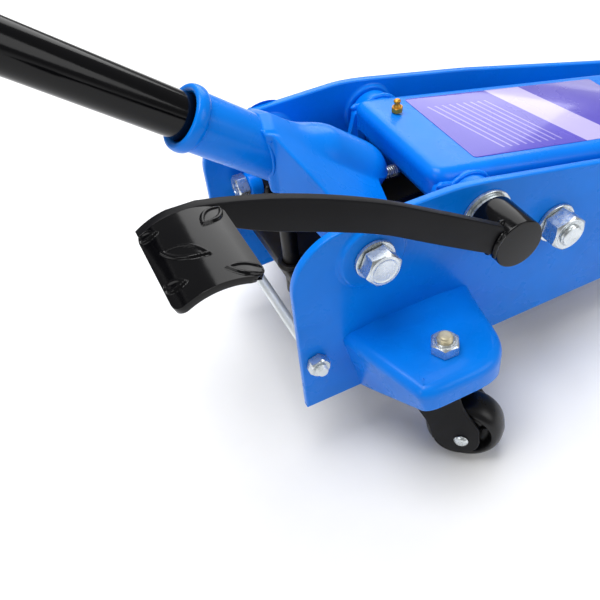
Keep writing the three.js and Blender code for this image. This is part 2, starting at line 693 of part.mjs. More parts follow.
function levelRod(s) {
  const eye = (at) => bar(at, 13, -ROD_Y - 4, -ROD_Y + 3, 28);
  const dx = LOWER.x - ANCHOR.x;
  const dz = LOWER.z - ANCHOR.z;
  const len = Math.hypot(dx, dz);
  const from = [ANCHOR.x + (dx * 8) / len, -ROD_Y - 0.5, ANCHOR.z + (dz * 8) / len];
  const rod = round(4, len - 16, from, [dx, 0, dz], 16);
  const body = eye(ANCHOR).add(eye(LOWER)).add(rod);
  const drill = (at) => bar(at, ANCHOR_R + GAP + 0.2, -120, 0);
  return flip(body.subtract(drill(ANCHOR)).subtract(drill(LOWER)), s);
}

function carrier() {
  const w = ARM_W - ARM_T - 1.5;
  const side = new THREE.Shape();
  side.moveTo(CARRY.x - 13, CARRY.z);
  side.absarc(CARRY.x, CARRY.z, 13, Math.PI, 1.5 * Math.PI, false);
  side.lineTo(LOWER.x, LOWER.z - 12);
  side.absarc(LOWER.x, LOWER.z, 12, -Math.PI / 2, 0, false);
  side.lineTo(LOWER.x + 4, CARRY.z + 14);
  side.lineTo(LOWER.x - 6, CARRY.z + 22);
  side.lineTo(CARRY.x - 13, CARRY.z + 22);
  side.closePath();
  const body = slabY(side, -w, w).subtract(block(CARRY.x - 40, LOWER.x + 40, -w + 8, w - 8, 0, CARRY.z + 14));
  const pinA = bar(CARRY, 8, -ARM_W - 1, ARM_W + 1);
  const pinB = bar(LOWER, ANCHOR_R, -ROD_Y - 6, ROD_Y + 6);
  const well = round(10 + GAP, 40, [SADDLE_X, 0, CARRY.z + 10], [0, 0, 1], 28);
  return body.add(pinA).add(pinB).subtract(well);
}

function saddle() {
  const z = CARRY.z + 22 + GAP;
  const r = SADDLE_R;
  const under = [[0, -10], [10, -10], [10, 0], [r - 16, 0], [r - 4, 8], [r, 12]];
  const rim = [[r, 16], [r - 6, 16], [r - 8, 12], [0, 12]];
  let body = turned([...under, ...rim], [SADDLE_X, 0, z], [0, 0, 1], 36);
  for (let i = 0; i < 4; i++) {
    const tooth = block(SADDLE_R - 7, SADDLE_R - 1, -9, 9, z + 10, SADDLE_Z + 2);
    body = body.add(tooth.rotate([0, 0, 45 + 90 * i]).translate([SADDLE_X, 0, 0]));
  }
  return body;
}

function saddlePad() {
  const z = CARRY.z + 22 + GAP + 12 + GAP;
  const r = SADDLE_R - 9;
  return turned([[0, 0], [r, 0], [r, 6], [r - 2, 8], [0, 8]], [SADDLE_X, 0, z], [0, 0, 1], 36);
}

// Coil spring as one closed solid.
function coil(from, to, radius, wire, turns) {
  class Helix extends THREE.Curve {
    getPoint(t, target = new THREE.Vector3()) {
      const a = t * turns * 2 * Math.PI;
      return target.set(radius * Math.cos(a), t * length, radius * Math.sin(a));
    }
  }
  const length = Math.hypot(to[0] - from[0], to[1] - from[1], to[2] - from[2]);
  const s = new THREE.Shape();
  s.absarc(0, 0, wire, 0, 2 * Math.PI, false);
  const sweep = { steps: turns * 10, curveSegments: 2, extrudePath: new Helix(), bevelEnabled: false };
  const g = new THREE.ExtrudeGeometry(s, sweep);
  return along(g, from, [to[0] - from[0], to[1] - from[1], to[2] - from[2]]);
}

const returnSpring = () => coil([107, 0, 107.6], [117, 0, 106.5], 3.6, 0.8, 5);

// ---------- assembly ----------
for (const [side, s] of SIDES) {
  add(`side_plate_${side}`, sidePlate(s), blue());
  add(`caster_bracket_${side}`, casterBracket(s), blue());
  add(`tie_nut_${side}`, tieNut(s), zinc());
  add(`yoke_washer_${side}`, yokeWasher(s), zinc());
  add(`yoke_bolt_${side}`, yokeBolt(s), zinc());
  add(`anchor_washer_${side}`, anchorWasher(s), zinc());
  add(`anchor_nut_${side}`, anchorNut(s), zinc());
  add(`anchor_bolt_${side}`, anchorBolt(s), zinc());
  add(`axle_nut_${side}`, axleNut(s), zinc());
  add(`front_wheel_${side}`, frontWheel(s), black());
  add(`caster_stem_${side}`, casterStem(s), zinc());
  add(`caster_fork_${side}`, casterFork(s), black());
  add(`caster_rivet_${side}`, casterRivet(s), zinc());
  add(`caster_wheel_${side}`, casterWheel(s), nylon());
  add(`ram_link_${side}`, ramLink(s), zinc());
  add(`level_rod_${side}`, levelRod(s), zinc());
}
add("rear_tie_rod", tieRod(), zinc());
add("arm_shaft", armShaft(), zinc());
add("shaft_nut", shaftNut(), zinc());
add("pedal_spacer", pedalSpacer(), zinc());
add("front_axle", frontAxle(), zinc());
add("cross_tube", crossTube(), blue());
add("handle_yoke", yoke(), blue());
add("handle_lower", handleLower(), gloss());
add("handle_upper", handleUpper(), gloss());
add("handle_grip", handleGrip(), rubber());
add("pedal_boss", pedalBoss(), black());
add("pedal_arm", pedalArm(), black());
add("pedal_pad", pedalPad(), gloss());
add("lift_arm", liftArm(), blue());
add("arm_panel", armLabel(), violet());
add("grease_nipple", greaseNipple(), brass());
add("pump_block", pumpBlock(), black());
add("ram_cylinder", cylinder(), black());
add("pump_plunger", plunger(), zinc());
add("valve_boss", valveBoss(), blue());
add("valve_plug", valvePlug(), zinc());
add("ram_rod", ramRod(), zinc());
add("saddle_carrier", carrier(), blue());
add("saddle", saddle(), blue());
add("saddle_pad", saddlePad(), rubber());
add("return_spring", returnSpring(), zinc());

const bounds = new THREE.Box3().setFromObject(group);
const middle = bounds.getCenter(new THREE.Vector3());
for (const mesh of group.children) mesh.geometry.translate(-middle.x, -middle.y, -FLOOR);

export default group;
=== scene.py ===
"""Looks of a hydraulic trolley jack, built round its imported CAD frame.

Lengths are millimetres measured from the side plates' rear lower corner and the centre plane,
+X towards the saddle, +Y to the left, +Z up. Datum.metres turns them into the frame's metres.
"""

import logging
import math
from dataclasses import dataclass, field
from enum import Enum
from typing import Sequence

import bmesh
import bpy
import numpy as np
from mathutils import Matrix, Vector


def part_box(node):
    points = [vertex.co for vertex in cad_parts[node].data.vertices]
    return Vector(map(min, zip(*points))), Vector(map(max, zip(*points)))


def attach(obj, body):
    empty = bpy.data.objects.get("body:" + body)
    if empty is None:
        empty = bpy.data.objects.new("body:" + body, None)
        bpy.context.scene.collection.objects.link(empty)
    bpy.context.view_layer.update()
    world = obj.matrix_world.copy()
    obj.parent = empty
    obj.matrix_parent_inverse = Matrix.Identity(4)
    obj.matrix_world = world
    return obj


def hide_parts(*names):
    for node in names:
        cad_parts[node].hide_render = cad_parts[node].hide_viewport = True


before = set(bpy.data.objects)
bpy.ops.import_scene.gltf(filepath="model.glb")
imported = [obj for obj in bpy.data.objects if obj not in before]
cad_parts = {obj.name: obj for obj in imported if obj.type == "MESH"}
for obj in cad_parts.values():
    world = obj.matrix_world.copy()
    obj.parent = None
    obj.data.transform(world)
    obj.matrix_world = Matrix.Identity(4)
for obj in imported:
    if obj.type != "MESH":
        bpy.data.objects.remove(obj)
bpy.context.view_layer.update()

LOG = logging.getLogger("jack")
Array = np.ndarray
RIGHT, LEFT = -1, 1
SIDES = (("right", RIGHT), ("left", LEFT))
MM = 0.001
FORWARD, ACROSS, UP = (1, 0, 0), (0, 1, 0), (0, 0, 1)
MERGE = 8e-6
PLATE_FOOT = 17.0


class Plane(Enum):
    """Which way a flat outline faces: the order that its two axes and its depth take in x, y and z."""

    XZ = (0, 2, 1)
    XY = (0, 1, 2)


class Datum:
    """The corner that lengths are measured from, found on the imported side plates."""

    def __init__(self) -> None:
        """Reads the plates' boxes; their lowest point is 17 mm under the datum."""
        low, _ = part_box("side_plate_right")
        _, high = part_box("side_plate_left")
        self.shift = np.array([low.x, (low.y + high.y) / 2, low.z + PLATE_FOOT * MM])

    def metres(self, points: Array) -> Array:
        """Millimetres from the datum as metres of the frame."""
        return np.asarray(points, float) * MM + self.shift

    def box(self, node: str) -> tuple[Array, Array]:
        """The two corners of a CAD node's box in millimetres from the datum.

        Returns:
            The open box.
        """
        low, high = (np.array(v) / MM - self.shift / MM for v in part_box(node))
        return low, high


DATUM = Datum()


def mid(at: Sequence[float]) -> tuple[float, float, float]:
    """A place in x and z, put on the centre plane."""
    return (at[0], 0.0, at[1])


# ---------------------------------------------------------------- shapes as arrays
def unit(v: Sequence[float]) -> Array:
    """The direction of a vector."""
    v = np.asarray(v, float)
    return v / np.linalg.norm(v)


def square_to(axis: Sequence[float]) -> tuple[Array, Array]:
    """Two directions square to an axis and to each other.

    Args:
        axis: the direction to be square to.

    Returns:
        Both unit vectors.
    """
    a = unit(axis)
    side = np.array([0.0, 0.0, 1.0]) if abs(a[2]) < 0.9 else np.array([1.0, 0.0, 0.0])
    u = unit(np.cross(side, a))
    return u, np.cross(a, u)


def smooth(t: Array) -> Array:
    """Smooth step: 3t² − 2t³ between 0 and 1."""
    t = np.clip(t, 0.0, 1.0)
    return t * t * (3 - 2 * t)


def rounded(
    points: Sequence[Sequence[float]], radius: float | Sequence[float], steps: int = 5, closed: bool = False
) -> Array:
    """Softens the corners of a polyline: each corner becomes the parabola (1−s)²a + 2s(1−s)p + s²b.

    Args:
        points: the corners.
        radius: how far from its corner each parabola starts and ends.
        steps: pieces of each parabola.
        closed: whether the last corner joins the first.

    Returns:
        The points of the softened line.
    """
    p = np.asarray(points, float)
    back, ahead = np.roll(p, 1, 0) - p, np.roll(p, -1, 0) - p
    lb, la = np.linalg.norm(back, axis=1), np.linalg.norm(ahead, axis=1)
    r = np.broadcast_to(np.asarray(radius, float), (len(p),))
    a = p + back * (np.minimum(r, lb * 0.499) / np.maximum(lb, 1e-9))[:, None]
    b = p + ahead * (np.minimum(r, la * 0.499) / np.maximum(la, 1e-9))[:, None]
    s = np.linspace(0, 1, steps + 1)[None, :, None]
    q = (1 - s) ** 2 * a[:, None] + 2 * s * (1 - s) * p[:, None] + s**2 * b[:, None]
    if closed:
        return q.reshape(-1, p.shape[1])
    return np.vstack([p[:1], q[1:-1].reshape(-1, p.shape[1]), p[-1:]])


def rectangle(x: tuple[float, float], y: tuple[float, float], radius: float, steps: int = 5) -> Array:
    """A rectangle between two x and two y, with softened corners."""
    corners = [[x[0], y[0]], [x[1], y[0]], [x[1], y[1]], [x[0], y[1]]]
    return rounded(corners, radius, steps, closed=True)


def both_faces(half: Array) -> Array:
    """A turned profile from one face to its middle, carried on to the other face and closed."""
    return np.vstack([half, half[::-1][1:] * [1, -1], half[:1]])


def arc(centre: Sequence[float], radius: float, start: float, end: float, steps: int = 12) -> Array:
    """Points of a circle's arc between two angles in degrees.

    Args:
        centre: the middle of the circle.
        radius: its radius.
        start: first angle.
        end: last angle.
        steps: how many points.

    Returns:
        The points.
    """
    a = np.radians(np.linspace(start, end, steps))
    return np.stack([centre[0] + radius * np.cos(a), centre[1] + radius * np.sin(a)], 1)


def evened(path: Array, count: int) -> Array:
    """The same line with its points spread evenly along its length.

    Args:
        path: the line.
        count: how many points it gets.

    Returns:
        The new points.
    """
    s = np.r_[0, np.cumsum(np.linalg.norm(np.diff(path, axis=0), axis=1))]
    t = np.linspace(0, s[-1], count)
    return np.stack([np.interp(t, s, path[:, k]) for k in range(path.shape[1])], 1)


def inset(outline: Array, by: float) -> Array:
    """A closed outline moved inwards: each point goes along the sum of its two edges' normals.

    Args:
        outline: the closed outline.
        by: how far it moves.

    Returns:
        The smaller outline.
    """
    edge = np.roll(outline, -1, 0) - outline
    edge /= np.maximum(np.linalg.norm(edge, axis=1), 1e-9)[:, None]
    normal = np.stack([-edge[:, 1], edge[:, 0]], 1)
    both = normal + np.roll(normal, 1, 0)
    both /= np.maximum((both**2).sum(1), 0.5)[:, None] / 2
    area = np.cross(outline, np.roll(outline, -1, 0)).sum()
    return outline + both * by * math.copysign(1.0, area)


def placed(flat: Array, depth: Array | float, plane: Plane) -> Array:
    """Flat points and a depth put into x, y and z.

    Args:
        flat: points on the plane.
        depth: how far each one stands off it.
        plane: which plane it is.

    Returns:
        Points with three coordinates.
    """
    columns = (flat[..., 0], flat[..., 1], np.broadcast_to(depth, flat.shape[:-1]))
    out = np.empty(flat.shape[:-1] + (3,))
    for source, target in enumerate(plane.value):
        out[..., target] = columns[source]
    return out


class Shell:
    """A surface gathered from grids of points; its seams are merged when it is made."""

    def __init__(self) -> None:
        """Starts empty."""
        self.points: list[Array] = []
        self.faces: list[list[int]] = []
        self.count = 0

    def _take(self, points: Array) -> Array:
        """Keeps points and gives their numbers in the shape of their grid.

        Args:
            points: a grid of points.

        Returns:
            The number of each point.
        """
        flat = np.asarray(points, float).reshape(-1, 3)
        numbers = np.arange(len(flat)).reshape(points.shape[:-1]) + self.count
        self.points.append(flat)
        self.count += len(flat)
        return numbers

    def grid(self, points: Array, around: bool = False) -> "Shell":
        """Adds a grid of points as quads.

        Args:
            points: rows × columns × 3, in millimetres.
            around: whether the last column joins the first.

        Returns:
            The shell itself.
        """
        k = self._take(points)
        if around:
            k = np.hstack([k, k[:, :1]])
        quads = np.stack([k[:-1, :-1], k[1:, :-1], k[1:, 1:], k[:-1, 1:]], -1).reshape(-1, 4)
        self.faces += quads.tolist()
        return self

    def lid(self, ring: Array) -> "Shell":
        """Adds one flat face on a closed ring of points.

        Args:
            ring: the points in order.

        Returns:
            The shell itself.
        """
        self.faces.append(self._take(ring).tolist())
        return self

    def lathe(
        self, profile: Sequence[Sequence[float]], at: Sequence[float], axis: Sequence[float],
        sides: int = 72
    ) -> "Shell":
        """Adds a turned surface: at + axis·d + r·(cos φ·u + sin φ·v), for each [r, d] of the profile.

        Args:
            profile: rows of radius and distance along the axis.
            at: where the axis starts.
            axis: its direction.
            sides: faces round the axis.

        Returns:
            The shell itself.
        """
        p = np.asarray(profile, float)
        u, v = square_to(axis)
        phi = np.linspace(0, 2 * np.pi, sides, endpoint=False)
        ring = np.cos(phi)[:, None] * u + np.sin(phi)[:, None] * v
        return self.grid(
            np.asarray(at, float) + p[:, None, 1:] * unit(axis) + p[:, None, :1] * ring, around=True
        )

    def slab(
        self, outline: Array, low: float, high: float, plane: Plane, edge: float = 1.0, steps: int = 3
    ) -> "Shell":
        """Adds a flat plate, its outline drawn in by edge·(1 − sin a) as it is set back by edge·(1 −
        cos a).

        Args:
            outline: the closed outline.
            low: where the plate starts.
            high: where it ends.
            plane: the plane of the outline.
            edge: radius of the broken edge.
            steps: rows that round it.

        Returns:
            The shell itself.
        """
        a = np.linspace(0, np.pi / 2, steps + 1)
        drawn, back = edge * (1 - np.sin(a)), edge * (1 - np.cos(a))
        rows = [placed(inset(outline, w), low + h, plane) for w, h in zip(drawn, back)]
        rows += [placed(inset(outline, w), high - h, plane) for w, h in zip(drawn[::-1], back[::-1])]
        return self.grid(np.array(rows), around=True).lid(rows[0]).lid(rows[-1])

    def wall(
        self, outline: Array, side: int, inner: float, outer: float, edge: float = 1.0, steps: int = 3
    ) -> "Shell":
        """Adds an upright plate on one side of the jack.

        Args:
            outline: its closed outline in x and z.
            side: −1 on the right, 1 on the left.
            inner: distance of its inner face from the centre plane.
            outer: distance of its outer face.
            edge: radius of the broken edge.
            steps: rows that round it.

        Returns:
            The shell itself.
        """
        low, high = sorted((side * inner, side * outer))
        return self.slab(outline, low, high, Plane.XZ, edge, steps)

    def rod(
        self, radius: float, ends: tuple[float, float], at: Sequence[float], axis: Sequence[float],
        edge: float = 0.0, steps: int = 3, sides: int = 72
    ) -> "Shell":
        """Adds a round bar.

        Args:
            radius: its radius.
            ends: where it starts and stops along the axis.
            at: where the axis starts.
            axis: its direction.
            edge: how far its end corners are softened.
            steps: rows that soften them.
            sides: faces round the axis.

        Returns:
            The shell itself.
        """
        profile = [[0, ends[0]], [radius, ends[0]], [radius, ends[1]], [0, ends[1]]]
        return self.lathe(rounded(profile, edge, steps) if edge else profile, at, axis, sides)

    def tube(self, path: Array, radius: float | Array, sides: int = 16, ends: bool = True) -> "Shell":
        """Adds a round section carried along a path: path(s) + r(s, φ)·(cos φ·n + sin φ·b), n not
        turning.

        Args:
            path: the middle line.
            radius: one radius, one for each point, or one for each point and angle.
            sides: faces round the path.
            ends: whether both ends are closed.

        Returns:
            The shell itself.
        """
        path = np.asarray(path, float)
        t = np.gradient(path, axis=0)
        t /= np.linalg.norm(t, axis=1)[:, None]
        n, _ = square_to(t[0])
        normals = []
        for tangent in t:
            n = unit(n - tangent * (n @ tangent))
            normals.append(n)
        n = np.array(normals)
        b = np.cross(t, n)
        phi = np.linspace(0, 2 * np.pi, sides, endpoint=False)
        r = np.broadcast_to(
            np.asarray(radius, float).reshape(-1, 1) if np.ndim(radius) == 1 else radius, (len(path), sides)
        )
        ring = np.cos(phi)[None, :, None] * n[:, None] + np.sin(phi)[None, :, None] * b[:, None]
        rows = path[:, None] + r[..., None] * ring
        if ends:
            first, last = np.broadcast_to(path[0], (1, sides, 3)), np.broadcast_to(path[-1], (1, sides, 3))
            rows = np.concatenate([first, rows, last])
        return self.grid(rows, around=True)

    def bead(self, path: Array, size: float, pitch: float = 2.6, seed: int = 1) -> "Shell":
        """Adds a weld bead: a tube of radius size·(0.9 + wander + 0.14·saw), the saw a wave of its
        length.

        Args:
            path: the line that is welded.
            size: radius of the bead.
            pitch: distance between ripples.
            seed: starts the random wander.

        Returns:
            The shell itself.
        """
        path = evened(np.asarray(path, float), max(24, int(len_of(path) / 0.45)))
        s = np.linspace(0, len_of(path), len(path))
        rng = np.random.default_rng(seed)
        wander = sum(
            rng.uniform(0.03, 0.08) * np.sin(s / rng.uniform(3, 9) + rng.uniform(0, 6)) for _ in range(4)
        )
        saw = ((s / pitch) % 1.0) ** 0.6
        tail = np.sqrt(np.clip(np.minimum(s, s[-1] - s) / (size * 1.2), 0.02, 1.0))
        phi = np.linspace(0, 2 * np.pi, 12, endpoint=False)
        lag = 0.5 + 0.5 * np.cos(phi)[None, :]
        r = size * tail[:, None] * (0.9 + wander[:, None] + 0.14 * saw[:, None] * lag)
        return self.tube(path, r, sides=12)

    def piece(
        self, name: str, finish: "Finish", body: str, stands_for: Sequence[str] = (), sharp: float = 32.0,
        slot: str = ""
    ) -> bpy.types.Object:
        """Makes the mesh and hands it to the frame.

        Args:
            name: the piece's name.
            finish: what it is dressed in.
            body: the CAD body that it rides on.
            stands_for: the CAD nodes that it replaces.
            sharp: edges bent by more than this many degrees stay crisp.
            slot: not used.

        Returns:
            The object.
        """
        mesh = bpy.data.meshes.new(name)
        mesh.from_pydata(DATUM.metres(np.vstack(self.points)).tolist(), [], self.faces)
        work = bmesh.new()
        work.from_mesh(mesh)
        bmesh.ops.remove_doubles(work, verts=work.verts, dist=MERGE)
        bmesh.ops.recalc_face_normals(work, faces=work.faces)
        work.to_mesh(mesh)
        work.free()
        mesh.shade_smooth()
        mesh.set_sharp_from_angle(angle=math.radians(sharp))
        mesh.materials.append(finish.material())
        made = bpy.data.objects.new(name, mesh)
        bpy.context.scene.collection.objects.link(made)
        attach(made, body)
        if stands_for:
            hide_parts(*stands_for)
        LOG.info("%s: %d faces, rides on %s", name, len(mesh.polygons), body)
        return made


def len_of(path: Array) -> float:
    """Length of a line of points."""
    return float(np.linalg.norm(np.diff(np.asarray(path, float), axis=0), axis=1).sum())


def thickened(made: bpy.types.Object, thickness: float, edge: float = 0.0) -> bpy.types.Object:
    """Gives an open sheet its wall, inwards, and a soft rim.

    Args:
        made: the sheet.
        thickness: of the wall, in millimetres.
        edge: radius of the rim, in millimetres.

    Returns:
        The object.
    """
    wall = made.modifiers.new("wall", "SOLIDIFY")
    wall.thickness, wall.offset = thickness * MM, -1.0
    if edge:
        rim = made.modifiers.new("rim", "BEVEL")
        rim.width, rim.segments = edge * MM, 2
        rim.limit_method, rim.angle_limit = "ANGLE", math.radians(50)
    return made


def hex_shape(
    shell: Shell, flats: float, height: float, at: Sequence[float], axis: Sequence[float],
    turn: float = 0.0, chamfer: bool = True
) -> Shell:
    """Adds a hexagon bar end: r(φ) = (flats/2)/cos(φ mod 60° − 30°), its top cut by a 30° cone.

    Args:
        shell: what it is added to.
        flats: size across flats.
        height: how tall it is.
        at: centre of its lower face.
        axis: the direction that it stands in.
        turn: its turn about the axis, in degrees.
        chamfer: whether the top edge is cut by the cone.

    Returns:
        The shell.
    """
    u, v = square_to(axis)
    a = unit(axis)
    phi = np.linspace(0, 2 * np.pi, 96, endpoint=False)
    r = flats / 2 / np.cos((phi % (np.pi / 3)) - np.pi / 6)
    r = np.minimum(r, flats / math.sqrt(3) * 0.985)
    phi = phi + math.radians(turn)
    ring = np.cos(phi)[:, None] * u + np.sin(phi)[:, None] * v
    cone = flats / 2 * 0.955
    fall = np.clip(r - cone, 0, None) * math.tan(math.radians(30)) if chamfer else r * 0 + 0.4
    at = np.asarray(at, float)

    def level(radius: Array, h: Array) -> Array:
        """One row: radius and height over the lower face, for each angle."""
        return at + h[:, None] * a + radius[:, None] * ring

    zero = phi * 0
    rows = [
        level(zero, zero), level(r - 0.5, zero), level(r, zero + 0.4), level(r, height - fall - 0.3),
        level(r - 0.35, height - fall)
    ]
    rows += [level(zero + cone, zero + height), level(zero, zero + height)]
    return shell.grid(np.array(rows), around=True)


def screw(
    shell: Shell, radius: float, length: float, at: Sequence[float], axis: Sequence[float], pitch: float
) -> Shell:
    """Adds a threaded end: r = R − depth·|2·frac(d/pitch − φ/2π) − 1|, faded out over its chamfered
    tip.

    Args:
        shell: what it is added to.
        radius: over the thread.
        length: of the threaded end.
        at: where it starts.
        axis: the direction that it stands in.
        pitch: of the thread.

    Returns:
        The shell.
    """
    u, v = square_to(axis)
    a = unit(axis)
    d = np.linspace(0, length, max(12, int(length / pitch * 8)))
    phi = np.linspace(0, 2 * np.pi, 48, endpoint=False)
    groove = np.abs(2 * ((d[:, None] / pitch - phi[None, :] / (2 * np.pi)) % 1.0) - 1)
    tip = np.clip((d - (length - pitch)) / pitch, 0, 1)[:, None]
    r = radius - 0.55 * pitch * groove * (1 - 0.5 * tip) - 0.5 * pitch * tip
    ring = np.cos(phi)[:, None] * u + np.sin(phi)[:, None] * v
    rows = np.asarray(at, float) + d[:, None, None] * a + r[..., None] * ring
    end = np.broadcast_to(np.asarray(at, float) + (length + 0.2) * a, (1, 48, 3))
    start = np.broadcast_to(np.asarray(at, float), (1, 48, 3))
    return shell.grid(np.concatenate([start, rows, end]), around=True)


# ---------------------------------------------------------------- finishes
def linear(hex_colour: str) -> tuple[float, float, float, float]:
    """An sRGB hex colour as the linear values that a shader takes.

    Args:
        hex_colour: six hex digits.

    Returns:
        Red, green, blue and alpha.
    """
    c = np.array([int(hex_colour[i : i + 2], 16) for i in (0, 2, 4)]) / 255
    c = np.where(c <= 0.04045, c / 12.92, ((c + 0.055) / 1.055) ** 2.4)
    return (*c.tolist(), 1.0)


def add(
    tree: bpy.types.NodeTree, kind: str, inputs: dict | None = None, **settings: object
) -> bpy.types.Node:
    """Adds a node with its settings; an input is a value or the socket that feeds it.

    Args:
        tree: where the node goes.
        kind: the type of node.
        inputs: a value or a socket for each input.
        settings: attributes of the node.

    Returns:
        The node.
    """
    made = tree.nodes.new(kind)
    for key, value in settings.items():
        setattr(made, key, value)
    for key, value in (inputs or {}).items():
        if isinstance(value, bpy.types.NodeSocket):
            tree.links.new(value, made.inputs[key])
        else:
            made.inputs[key].default_value = value
    return made


@dataclass(frozen=True)
class Finish:
    """A surface finish: two close shades that drift into each other, a roughness range and a grain."""

    name: str
    slot: str
    colour: str
    shade: str
    rough: tuple[float, float]
    metal: float = 0.0
    drift_mm: float = 60.0
    grain_mm: float = 1.2
    grain: float = 0.1
    peel_mm: float = 5.0
    peel: float = 0.0
    coat: float = 0.0
    coat_rough: float = 0.08
    mirror: float = 0.5

    def grains(self, tree: bpy.types.NodeTree, place: bpy.types.NodeSocket) -> bpy.types.NodeSocket:
        """The bump: a fine grain over the long waves of flowing paint.

        Args:
            tree: the material's nodes.
            place: the object coordinates.

        Returns:
            The bumped normal.
        """
        fine = add(
            tree, "ShaderNodeTexNoise", {"Vector": place, "Scale": 1 / (self.grain_mm * MM), "Detail": 2.0}
        )
        long = add(
            tree, "ShaderNodeTexNoise", {"Vector": place, "Scale": 1 / (self.peel_mm * MM), "Detail": 1.0}
        )
        first = add(
            tree, "ShaderNodeBump",
            {"Height": long.outputs["Fac"], "Strength": self.peel, "Distance": self.peel_mm * 0.1 * MM}
        )
        both = {"Height": fine.outputs["Fac"], "Normal": first.outputs["Normal"], "Strength": self.grain}
        return add(
            tree, "ShaderNodeBump", {**both, "Distance": self.grain_mm * 0.15 * MM}
        ).outputs["Normal"]

    def hue(self, tree: bpy.types.NodeTree, place: bpy.types.NodeSocket) -> bpy.types.NodeSocket:
        """The colour: a slow drift between the two shades.

        Args:
            tree: the material's nodes.
            place: the object coordinates.

        Returns:
            The colour.
        """
        slow = add(
            tree, "ShaderNodeTexNoise",
            {"Vector": place, "Scale": 1 / (self.drift_mm * MM), "Detail": 4.0, "Roughness": 0.6}
        )
        ramp = add(tree, "ShaderNodeValToRGB", {"Fac": slow.outputs["Fac"]})
        for stop, position, tone in zip(ramp.color_ramp.elements, (0.35, 0.65), (self.shade, self.colour)):
            stop.position = position
            stop.color = linear(tone)
        return ramp.outputs["Color"]

    def material(self) -> bpy.types.Material:
        """Builds the material once and gives it again when it is asked for.

        Returns:
            The material.
        """
        if self.name in bpy.data.materials:
            return bpy.data.materials[self.name]
        made = bpy.data.materials.new(self.name)
        made.use_nodes = True
        tree = made.node_tree
        shader = tree.nodes["Principled BSDF"]
        place = add(tree, "ShaderNodeTexCoord").outputs["Object"]
        tree.links.new(self.hue(tree, place), shader.inputs["Base Color"])
        cloud = add(
            tree, "ShaderNodeTexNoise",
            {"Vector": place, "Scale": 1 / (self.drift_mm * 0.35 * MM), "Detail": 5.0}
        )
        low, high = self.rough
        spread = add(
            tree, "ShaderNodeMapRange",
            {"Value": cloud.outputs["Fac"], "From Min": 0.3, "From Max": 0.7, "To Min": low, "To Max": high}
        )
        tree.links.new(spread.outputs["Result"], shader.inputs["Roughness"])
        tree.links.new(self.grains(tree, place), shader.inputs["Normal"])
        shader.inputs["Metallic"].default_value = self.metal
        shader.inputs["Coat Weight"].default_value = self.coat
        shader.inputs["Coat Roughness"].default_value = self.coat_rough
        shader.inputs["Specular IOR Level"].default_value = self.mirror
        return made


@dataclass(frozen=True)
class PrintedFilm(Finish):
    """Vinyl film printed with a pale slanting band and fine pale rules.

    Its places and its pitch are metres along the slanted x.
    """

    pale: str = "B9B0E0"
    slope: float = 0.28
    soft: float = 0.0006
    band: tuple[float, float] = (0.2330, 0.2650)
    ruled: tuple[float, float] = (0.1650, 0.2190)
    pitch: float = 0.0062
    half: float = 0.033
    faint: float = 0.55

    def between(
        self, tree: bpy.types.NodeTree, along: bpy.types.NodeSocket, ends: tuple[float, float]
    ) -> bpy.types.NodeSocket:
        """A mask that is one between two places and fades over a soft edge.

        Args:
            tree: the material's nodes.
            along: distance along the slanted x.
            ends: where the mask starts and stops.

        Returns:
            The mask.
        """
        edges = [
            add(
                tree, "ShaderNodeMapRange", {"Value": along, "From Min": at, "From Max": at + self.soft}
            ).outputs[0]
            for at in ends
        ]
        return add(
            tree, "ShaderNodeMath", dict(enumerate(edges)), operation="SUBTRACT", use_clamp=True
        ).outputs[0]

    def hue(self, tree: bpy.types.NodeTree, place: bpy.types.NodeSocket) -> bpy.types.NodeSocket:
        """The film's own colour with the band and the rules mixed in.

        Args:
            tree: the material's nodes.
            place: the object coordinates.

        Returns:
            The colour.
        """
        x0, _, _ = DATUM.metres((0, 0, 0))
        split = add(tree, "ShaderNodeSeparateXYZ", {"Vector": place})
        x = add(
            tree, "ShaderNodeMath", {0: split.outputs["X"], 1: float(x0)}, operation="SUBTRACT"
        ).outputs[0]
        lean = {0: split.outputs["Y"], 1: self.slope, 2: x}
        along = add(tree, "ShaderNodeMath", lean, operation="MULTIPLY_ADD").outputs[0]
        wave = add(
            tree, "ShaderNodeMath", {0: along, 1: 2 * math.pi / self.pitch}, operation="MULTIPLY"
        ).outputs[0]
        lines = add(tree, "ShaderNodeMath", {0: wave}, operation="SINE").outputs[0]
        crest = add(
            tree, "ShaderNodeMapRange", {"Value": lines, "From Min": 0.62, "From Max": 0.70}
        ).outputs[0]
        reach = add(tree, "ShaderNodeMath", {0: split.outputs["Y"]}, operation="ABSOLUTE").outputs[0]
        within = add(tree, "ShaderNodeMath", {0: reach, 1: self.half}, operation="LESS_THAN").outputs[0]
        rules = self.between(tree, along, self.ruled)
        for other in (crest, within, self.faint):
            rules = add(tree, "ShaderNodeMath", {0: rules, 1: other}, operation="MULTIPLY").outputs[0]
        marks = {0: self.between(tree, along, self.band), 1: rules}
        both = add(tree, "ShaderNodeMath", marks, operation="MAXIMUM").outputs[0]
        film = super().hue(tree, place)
        mix = {"Factor": both, "A": film, "B": linear(self.pale)}
        return add(tree, "ShaderNodeMix", mix, data_type="RGBA").outputs["Result"]


# Stoved enamel over steel: saturated, with soft reflections and the faint waves of sprayed paint.
BLUE = Finish(
    "blue_stoved_enamel", "blue_paint", "007CE8", "0074DC", (0.24, 0.34), peel=0.05, peel_mm=9, grain=0.03,
    grain_mm=1.6, coat=0.06, coat_rough=0.10, mirror=0.17
)
# Powder coat, cured: even dark grey with a fine sandy grain and a dull sheen.
POWDER = Finish(
    "black_powder_coat", "black_paint", "101013", "0D0D10", (0.34, 0.46), grain=0.25, grain_mm=0.9,
    peel=0.05, mirror=0.12
)
